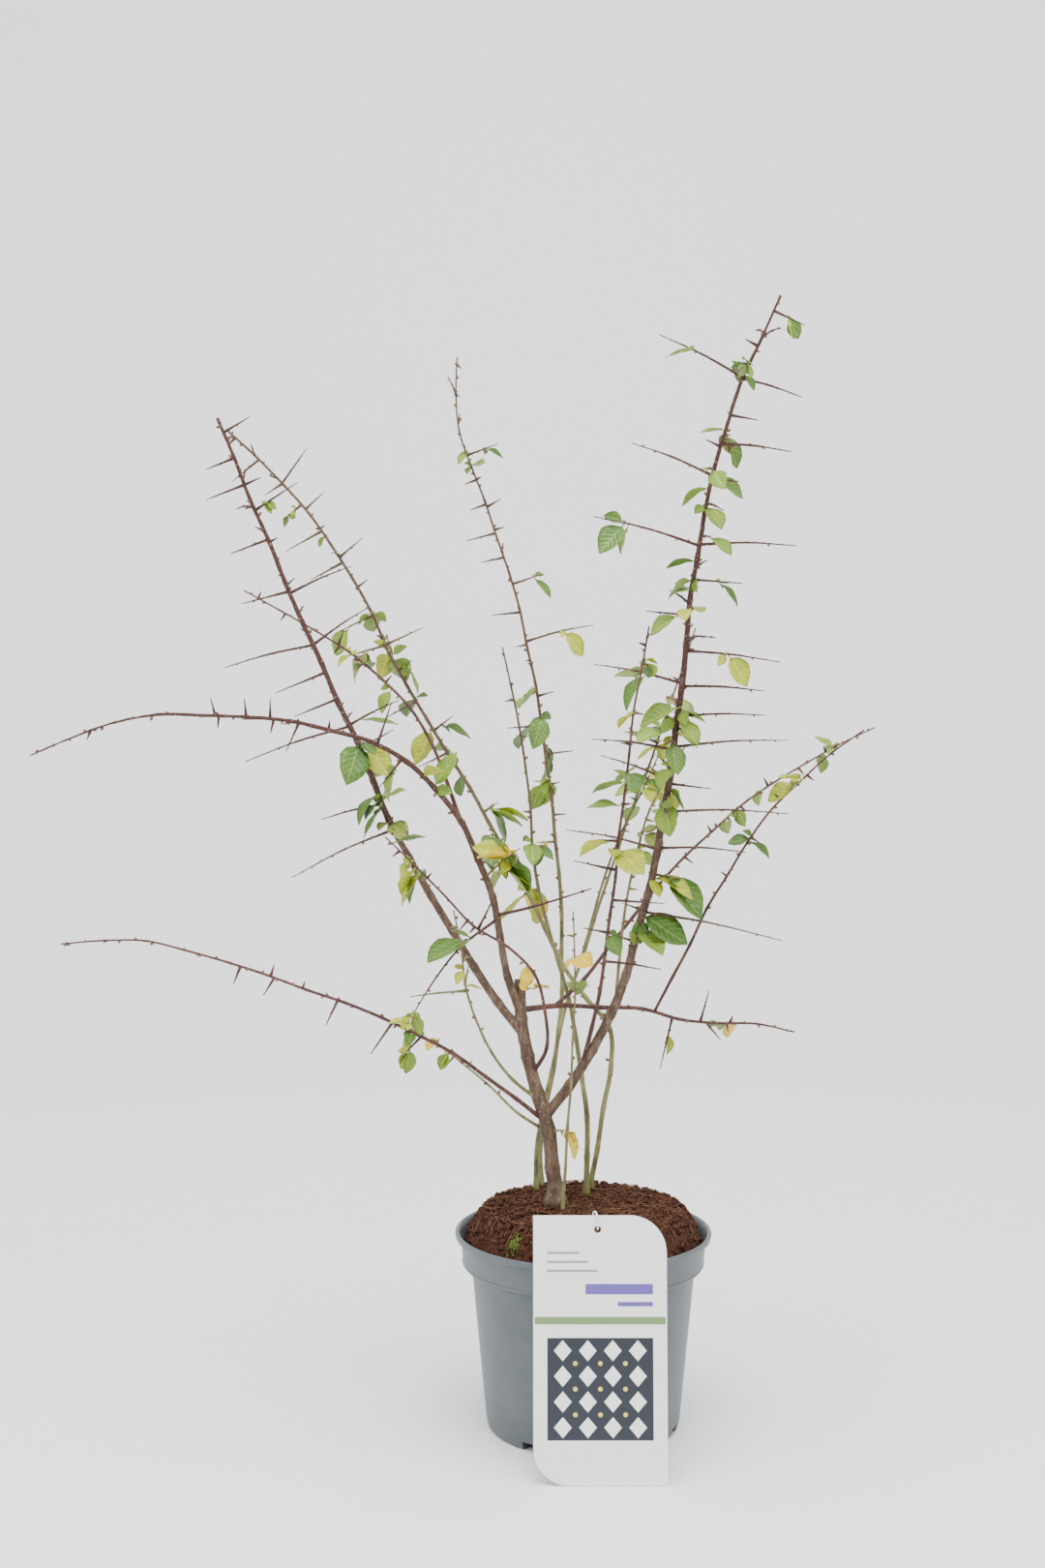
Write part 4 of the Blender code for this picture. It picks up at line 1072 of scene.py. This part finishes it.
def grow_foliage():
    meshes = {name: bmesh.new() for name in LEAF_TINTS}
    count = 0
    for key, (stem, limb, spurs, leaves) in grown.items():
        rng = random.Random(SEED + 900 + list(STEMS).index(key))
        for place, length, width in leaves:
            low = place.translation.z < LOW_LEAVES
            bm = meshes[tint_for(rng, key, low)]
            leaf_blade(bm, place, length * 1.06, width * rng.uniform(0.95, 1.15), rng)
            count += 1
            for _ in range(rng.choice((0, 1, 1, 2))):
                side = Matrix.Rotation(rng.choice((-1, 1)) * rng.uniform(0.6, 1.5), 4, "Z")
                tip = Matrix.Rotation(rng.uniform(-0.6, 0.6), 4, "Y")
                small = length * rng.uniform(0.35, 0.62)
                leaf_blade(bm, place @ side @ tip, small, small * LEAF_WIDTH_SHARE, rng)
                count += 1
    for name, bm in meshes.items():
        piece_from(bm, "leaves_" + name, LEAF_TINTS[name][0])
    return count


print("leaves:", grow_foliage())

# %% [markdown]
# ## The pot
#
# The pot is a turned shape, so a profile is spun about the axis. Its rim is a thin rolled
# lip above a broad band, and a fine bead marks the band's lower edge. Small notches at
# the foot let water out.

# %% Spin the pot
POT_TURN_STEPS = 128
POT_SHARP_EDGE = math.radians(32)


def spun(profile, steps):
    """A closed shape of revolution from (radius, height) pairs that start on the axis."""
    bm = bmesh.new()
    verts = [bm.verts.new((radius, 0.0, height)) for radius, height in profile]
    edges = [bm.edges.new(pair) for pair in zip(verts, verts[1:])]
    bmesh.ops.spin(bm, geom=verts + edges, cent=(0, 0, 0), axis=(0, 0, 1),
                   angle=math.tau, steps=steps, use_merge=True, use_duplicate=False)
    bmesh.ops.remove_doubles(bm, verts=bm.verts, dist=1e-6)
    return bm


def pot_profile():
    lip = POT_HEIGHT - POT_LIP_DROP
    band = POT_HEIGHT - POT_BAND_DROP
    inside = [
        (0.0, POT_FLOOR),
        (POT_BASE_RADIUS - POT_WALL - 0.0015, POT_FLOOR),
        (POT_BASE_RADIUS - POT_WALL, POT_FLOOR + 0.003),
        (POT_BODY_TOP_RADIUS - POT_WALL, band - 0.001),
        (POT_BAND_RADIUS - POT_WALL - 0.0020, band + 0.001),
        (POT_BAND_RADIUS - POT_WALL, lip - 0.001),
        (POT_RIM_RADIUS - 0.0030, POT_HEIGHT - 0.0008),
        (POT_RIM_RADIUS - 0.0024, POT_HEIGHT - 0.0002),
    ]
    outside = [
        (POT_RIM_RADIUS - 0.0016, POT_HEIGHT),
        (POT_RIM_RADIUS - 0.0007, POT_HEIGHT - 0.0003),
        (POT_RIM_RADIUS - 0.0001, POT_HEIGHT - 0.0010),
        (POT_RIM_RADIUS, POT_HEIGHT - 0.0018),
        (POT_RIM_RADIUS - 0.0006, lip + 0.0003),
        (POT_RIM_RADIUS - 0.0016, lip - 0.0004),
        (POT_BAND_RADIUS + 0.0006, lip - 0.0010),
        (POT_BAND_RADIUS + 0.0003, lip - 0.0018),
        (POT_BAND_RADIUS - 0.0011, band + 0.0030),
        (POT_BAND_RADIUS - 0.0006, band + 0.0024),
        (POT_BAND_RADIUS - 0.0012, band + 0.0018),
        (POT_BAND_RADIUS - 0.0014, band + 0.0010),
        (POT_BAND_RADIUS - 0.0024, band),
        (POT_BODY_TOP_RADIUS + 0.0010, band - 0.002),
        (POT_BASE_RADIUS + 0.0006, 0.008),
        (POT_BASE_RADIUS + 0.0002, 0.005),
        (POT_BASE_RADIUS - 0.0006, 0.0022),
        (POT_BASE_RADIUS - 0.0018, 0.0006),
        (POT_BASE_RADIUS - 0.0032, 0.0),
        (POT_FOOT_INNER, 0.0),
        (POT_FOOT_INNER - 0.0015, POT_RECESS),
        (POT_PAD_RADIUS + 0.0015, POT_RECESS),
        (POT_PAD_RADIUS, 0.0),
        (0.0, 0.0),
    ]
    return inside + outside


def notched(bm):
    """Drainage notches, cut with a Boolean that is applied before the piece is made."""
    mesh = bpy.data.meshes.new("pot_blank")
    bmesh.ops.recalc_face_normals(bm, faces=bm.faces)
    bm.to_mesh(mesh)
    bm.free()
    blank = bpy.data.objects.new("pot_blank", mesh)
    cutter_bm = bmesh.new()
    for index in range(DRAIN_COUNT):
        turn = math.radians(DRAIN_FIRST_DEG - 90) + math.tau * index / DRAIN_COUNT
        notch = bmesh.ops.create_cube(cutter_bm, size=1.0)
        middle = POT_BASE_RADIUS + 0.004 - DRAIN_DEPTH / 2
        size = Matrix.Diagonal((DRAIN_DEPTH + 0.004, DRAIN_WIDTH, 2 * DRAIN_HEIGHT, 1.0))
        place = Matrix.Rotation(turn, 4, "Z") @ Matrix.Translation((middle, 0.0, 0.0)) @ size
        bmesh.ops.transform(cutter_bm, matrix=place, verts=notch["verts"])
    cutter_mesh = bpy.data.meshes.new("notch_cutter")
    cutter_bm.to_mesh(cutter_mesh)
    cutter_bm.free()
    cutter = bpy.data.objects.new("notch_cutter", cutter_mesh)
    for scene_object in (blank, cutter):
        bpy.context.scene.collection.objects.link(scene_object)
    boolean = blank.modifiers.new("Notches", "BOOLEAN")
    boolean.object = cutter
    boolean.operation = "DIFFERENCE"
    boolean.solver = "EXACT"
    bpy.context.view_layer.update()
    depsgraph = bpy.context.evaluated_depsgraph_get()
    cut_mesh = bpy.data.meshes.new_from_object(blank.evaluated_get(depsgraph))
    for scene_object in (blank, cutter):
        bpy.data.objects.remove(scene_object, do_unlink=True)
    result = bmesh.new()
    result.from_mesh(cut_mesh)
    return result


pot_piece = piece_from(notched(spun(pot_profile(), POT_TURN_STEPS)), "plant_pot", pot_grey, ["pot"])
pot_piece.data.set_sharp_from_angle(angle=POT_SHARP_EDGE)

# %% [markdown]
# ## The compost
#
# The compost is a rough mound. A disc of rings is lifted into the mound and pushed about
# by noise, and several hundred crumbs and fibres lie on it.

# %% Heap the compost
SOIL_TURN_STEPS = 140
SOIL_RINGS = 26
SOIL_FINE_ROUGHNESS = 0.0011
SOIL_BROAD_ROUGHNESS = 0.0016


def mound_height(radius):
    """The compost's height at a distance from the pot's axis."""
    if radius <= SOIL_PLATEAU:
        return SOIL_TOP
    share = min((radius - SOIL_PLATEAU) / (SOIL_RIM_RADIUS - SOIL_PLATEAU), 1.0)
    return SOIL_TOP - (SOIL_TOP - SOIL_EDGE) * share**1.5


def heap():
    profile = [(0.0, POT_FLOOR + 0.001), (POT_BASE_RADIUS - POT_WALL - 0.003, POT_FLOOR + 0.001),
               (POT_BODY_TOP_RADIUS - POT_WALL - 0.001, SOIL_EDGE - 0.022),
               (SOIL_RIM_RADIUS, SOIL_EDGE - 0.003)]
    for k in range(SOIL_RINGS + 1):
        radius = SOIL_RIM_RADIUS * (1 - k / SOIL_RINGS)
        profile.append((radius, mound_height(radius)))
    bm = spun(profile, SOIL_TURN_STEPS)
    for vert in bm.verts:
        radius = Vector((vert.co.x, vert.co.y)).length
        if vert.co.z > SOIL_EDGE - 0.001 and radius < SOIL_RIM_RADIUS - 0.0005:
            rough = noise.fractal(vert.co * 130, 0.8, 2.0, 4) * SOIL_FINE_ROUGHNESS
            broad = noise.noise(vert.co * 28) * SOIL_BROAD_ROUGHNESS
            vert.co.z += rough + broad - 0.0012
    return bm


piece_from(heap(), "compost_mound", soil_brown, ["soil"])


# %% Crumbs, fibres and moss
def on_mound(rng, spread=1.0):
    radius = SOIL_RIM_RADIUS * 0.985 * math.sqrt(rng.random()) * spread
    turn = rng.uniform(0.0, math.tau)
    return Vector((radius * math.cos(turn), radius * math.sin(turn), mound_height(radius)))


def crumbs(count, low, high, seed):
    rng = random.Random(seed)
    bm = bmesh.new()
    for _ in range(count):
        spot = on_mound(rng)
        size = rng.uniform(low, high) * rng.uniform(0.6, 1.0)
        stretch_by = Vector([size * rng.uniform(0.5, 1.3) for _ in range(3)])
        turn = Vector((rng.gauss(0, 1), rng.gauss(0, 1), rng.gauss(0, 1))).to_track_quat("Z", "Y")
        place = Matrix.LocRotScale(spot - Vector((0, 0, size * 0.3)), turn, stretch_by)
        made = bmesh.ops.create_icosphere(bm, subdivisions=1, radius=1.0, matrix=place)["verts"]
        for vert in made:
            vert.co += (vert.co - spot) * noise.noise(vert.co * 900) * 0.5
    return bm


def fibres(count, seed):
    rng = random.Random(seed)
    bm = bmesh.new()
    for _ in range(count):
        spot = on_mound(rng, 0.95)
        turn = rng.uniform(0.0, math.tau)
        length = rng.uniform(0.006, 0.020)
        step = Vector((math.cos(turn), math.sin(turn), 0.0)) * length / 3
        points = []
        for k in range(4):
            point = spot + step * k
            radius = Vector((point.x, point.y)).length
            lift = rng.uniform(-0.0004, 0.0014)
            point.z = mound_height(min(radius, SOIL_RIM_RADIUS)) + lift
            point += Vector((rng.uniform(-1, 1), rng.uniform(-1, 1), 0)) * 0.0012
            if Vector((point.x, point.y)).length < SOIL_RIM_RADIUS - 0.001:
                points.append(point)
        if len(points) > 1:
            skin(bm, points, [rng.uniform(0.00018, 0.0004)] * len(points), 4)
    return bm


piece_from(crumbs(1900, 0.0009, 0.0034, 61), "compost_crumbs", soil_brown, smooth=False)
piece_from(fibres(650, 62), "compost_fibres", fibre_brown)


MOSS_TUFTS = ((0.028, -0.066, 0.010), (-0.050, -0.062, 0.004))
MOSS_BEADS = 90


def moss(seed):
    rng = random.Random(seed)
    bm = bmesh.new()
    for x, y, spread in MOSS_TUFTS:
        for _ in range(MOSS_BEADS):
            dx, dy = rng.gauss(0, spread * 0.5), rng.gauss(0, spread * 0.35)
            radius = Vector((x + dx, y + dy)).length
            spot = Vector((x + dx, y + dy, mound_height(radius) + rng.uniform(0, 0.0012)))
            place = Matrix.LocRotScale(spot, None, Vector([rng.uniform(0.0006, 0.0012)] * 3))
            bmesh.ops.create_icosphere(bm, subdivisions=1, radius=1.0, matrix=place)
    return bm


piece_from(moss(63), "moss", moss_green, smooth=False)

# %% [markdown]
# ## The label
#
# A nursery label is a thin plastic card. Its printed face is made here of thin coloured
# plates that stand a tenth of a millimetre proud: a dark panel of pale lozenges and dots,
# a green stripe and plain bars. The whole design is this lesson's own.

# %% Card and print
def label_place():
    """The card's frame: x across it, y up its face, z out of its front."""
    contact = POT_HEIGHT - 0.0003
    foot = -(POT_RIM_RADIUS + GAP + 0.0002 + contact * math.tan(LABEL_LEAN))
    foot -= LABEL_THICKNESS / 2
    stand = Matrix.Rotation(math.pi / 2 - LABEL_LEAN, 4, "X")
    return Matrix.Translation((LABEL_X, foot, GAP)) @ stand


PRINT_LIFT = 0.00008


def plate(bm, outline, low, high, place):
    """A flat plate from an outline, extruded from one height to another."""
    verts = [bm.verts.new((x, y, low)) for x, y in outline]
    face = bm.faces.new(verts)
    lifted = bmesh.ops.extrude_face_region(bm, geom=[face])["geom"]
    top = [g for g in lifted if isinstance(g, bmesh.types.BMVert)]
    bmesh.ops.translate(bm, verts=top, vec=(0.0, 0.0, high - low))
    bmesh.ops.transform(bm, matrix=place, verts=verts + top)


def arc(centre, radius, start_deg, end_deg, steps):
    angles = [math.radians(start_deg + (end_deg - start_deg) * i / steps) for i in range(steps + 1)]
    return [(centre[0] + radius * math.cos(a), centre[1] + radius * math.sin(a)) for a in angles]


def card():
    place = label_place()
    half, r = LABEL_WIDTH / 2, LABEL_CORNER
    hole = (-half + LABEL_HOLE_LEFT, LABEL_LENGTH - LABEL_HOLE_DOWN)
    outline = [(half, 0.0)] + arc((half - r, LABEL_LENGTH - r), r, 0, 90, 16)
    outline += [(hole[0], LABEL_LENGTH)]
    outline += arc(hole, LABEL_HOLE_RADIUS, 90, -265, 22)
    outline += [(hole[0] - 0.00002, LABEL_LENGTH), (-half, LABEL_LENGTH)]
    outline += arc((-half + r, r), r, 180, 270, 16)
    bm = bmesh.new()
    plate(bm, outline, -LABEL_THICKNESS / 2, LABEL_THICKNESS / 2, place)
    return bm


piece_from(card(), "label_card", card_white, ["label"], smooth=False)


def printed(name, colour, rough, shapes, layer=1):
    bm = bmesh.new()
    low = LABEL_THICKNESS / 2 + PRINT_LIFT * (layer - 1) * 0.5
    for outline in shapes:
        plate(bm, outline, low, low + PRINT_LIFT * 0.5, label_place())
    return piece_from(bm, name, plain(name + " ink", colour, rough), smooth=False)


def block(left, low, right, high):
    return [(left, low), (right, low), (right, high), (left, high)]


def lozenge(x, y, wide, high):
    return [(x, y - high), (x + wide, y), (x, y + high), (x - wide, y)]


half_width = LABEL_WIDTH / 2
panel_low, panel_high, panel_half = 0.030, 0.098, 0.036
pitch = (panel_high - panel_low) / 4
printed("label_panel", (0.012, 0.016, 0.026), 0.35,
        [block(-panel_half, panel_low, panel_half, panel_high)])
lozenges = [lozenge((column - 1.5) * pitch, panel_low + (row + 0.5) * pitch, 0.0060, 0.0070)
            for row in range(4) for column in range(4)]
printed("label_lozenges", (0.82, 0.82, 0.80), 0.4, lozenges, 2)
dots = [arc(((column - 1) * pitch, panel_low + (row + 1) * pitch), 0.0016, 0, 330, 11)
        for row in range(3) for column in range(3)]
printed("label_dots", (0.60, 0.52, 0.10), 0.4, dots, 2)
printed("label_stripe", (0.16, 0.25, 0.09), 0.4,
        [block(-half_width + 0.001, 0.107, half_width - 0.001, 0.112)])
printed("label_title_bar", (0.110, 0.080, 0.330), 0.4,
        [block(-0.010, 0.127, 0.036, 0.134), block(0.012, 0.119, 0.036, 0.122)])
printed("label_lines", (0.25, 0.25, 0.27), 0.5,
        [block(-0.036, 0.142 + k * 0.006, -0.002 - k * 0.006, 0.1435 + k * 0.006)
         for k in range(3)])


# %% [markdown]
# ## The label's tie
#
# A thin plastic loop holds the card. It comes up out of the compost, passes over the
# card's top edge and goes into its hole.

# %% Tie
def tie():
    place = label_place()
    x, top = -LABEL_WIDTH / 2 + LABEL_HOLE_LEFT, LABEL_LENGTH
    off = LABEL_THICKNESS / 2 + TIE_RADIUS + 0.0005
    hole_y = top - LABEL_HOLE_DOWN
    on_label = (
        (x, hole_y, 0.0002), (x, hole_y + 0.0006, off), (x, top - 0.002, off + 0.0003),
        (x - 0.001, top + 0.0016, off - 0.0006), (x - 0.002, top + 0.0024, -0.0012),
        (x - 0.003, top + 0.0004, -off - 0.0012), (x - 0.004, top - 0.012, -off - 0.0022),
    )
    route = [place @ Vector(point) for point in on_label]
    route.append(Vector((LABEL_X + x - 0.006, -(SOIL_PLATEAU + 0.006), SOIL_TOP - 0.003)))
    way, _ = finer(route, [TIE_RADIUS] * len(route), 0.0015)
    bm = bmesh.new()
    skin(bm, way, [TIE_RADIUS] * len(way), 8)
    return bm


piece_from(tie(), "tie", plain("tie plastic", (0.75, 0.75, 0.72), 0.4), ["label_tie"])

# %% [markdown]
# ## Studio
#
# The plant stands on a pale floor that curves up behind it, under a broad soft light from
# above and a weak one from each side. The camera stands where the photograph was taken.

# %% Floor, lights and camera
def studio():
    bm = bmesh.new()
    verts = [bm.verts.new((x, -3.0, 0.0)) for x in (-3.0, 3.0)]
    edge = bm.edges.new(verts)
    path = [(1.2, 0.0)] + [(1.2 + 0.8 * math.sin(a), 0.8 - 0.8 * math.cos(a))
                           for a in (0.26, 0.52, 0.79, 1.05, 1.31, 1.57)] + [(2.0, 3.2)]
    edges, place = [edge], Vector((0.0, -3.0, 0.0))
    for y, z in path:
        geom = bmesh.ops.extrude_edge_only(bm, edges=edges)["geom"]
        fresh = [g for g in geom if isinstance(g, bmesh.types.BMVert)]
        edges = [g for g in geom if isinstance(g, bmesh.types.BMEdge)
                 and g.verts[0] in fresh and g.verts[1] in fresh]
        target = Vector((0.0, y, z))
        bmesh.ops.translate(bm, verts=fresh, vec=target - place)
        place = target
    mesh = bpy.data.meshes.new("pale_floor")
    bm.to_mesh(mesh)
    bm.free()
    mesh.shade_smooth()
    floor = bpy.data.objects.new("pale_floor", mesh)
    bpy.context.scene.collection.objects.link(floor)
    mesh.materials.append(plain("pale floor", (0.86, 0.86, 0.86), 0.9))


def soft_light(name, spot, target, size, power):
    lamp = bpy.data.lights.new(name, "AREA")
    lamp.energy = power
    lamp.size = size
    light = bpy.data.objects.new(name, lamp)
    light.location = spot
    light.rotation_euler = (Vector(target) - Vector(spot)).to_track_quat("-Z", "Y").to_euler()
    bpy.context.scene.collection.objects.link(light)


studio()
soft_light("overhead", (0.0, -0.6, 2.4), (0.0, 0.0, 0.3), 1.6, 80)
soft_light("left_fill", (-1.9, -1.2, 1.3), (0.0, 0.0, 0.35), 1.4, 20)
soft_light("right_fill", (1.9, -1.2, 1.3), (0.0, 0.0, 0.35), 1.4, 20)
world = bpy.data.worlds.new("Studio air")
world.use_nodes = True
world.node_tree.nodes["Background"].inputs["Color"].default_value = (1.0, 1.0, 1.0, 1.0)
world.node_tree.nodes["Background"].inputs["Strength"].default_value = 1.25
bpy.context.scene.world = world

CAMERA_HEIGHT = 0.563
CAMERA_DISTANCE = 1.466
CAMERA_SIDE = -0.0441
CAMERA_PITCH = math.radians(3.73)
CAMERA_LENS = 47.07
CAMERA_FILM = 36.0
camera_data = bpy.data.cameras.new("Camera")
camera_data.sensor_width = CAMERA_FILM
camera_data.lens = CAMERA_LENS
camera = bpy.data.objects.new("Camera", camera_data)
camera.location = (CAMERA_SIDE, -CAMERA_DISTANCE, CAMERA_HEIGHT)
camera.rotation_euler = (math.pi / 2 - CAMERA_PITCH, 0.0, 0.0)
bpy.context.scene.collection.objects.link(camera)
bpy.context.scene.camera = camera
print("camera at", tuple(round(v, 3) for v in camera.location))

# %% [markdown]
# ## Close the lesson

# %% Finish
print("finished")
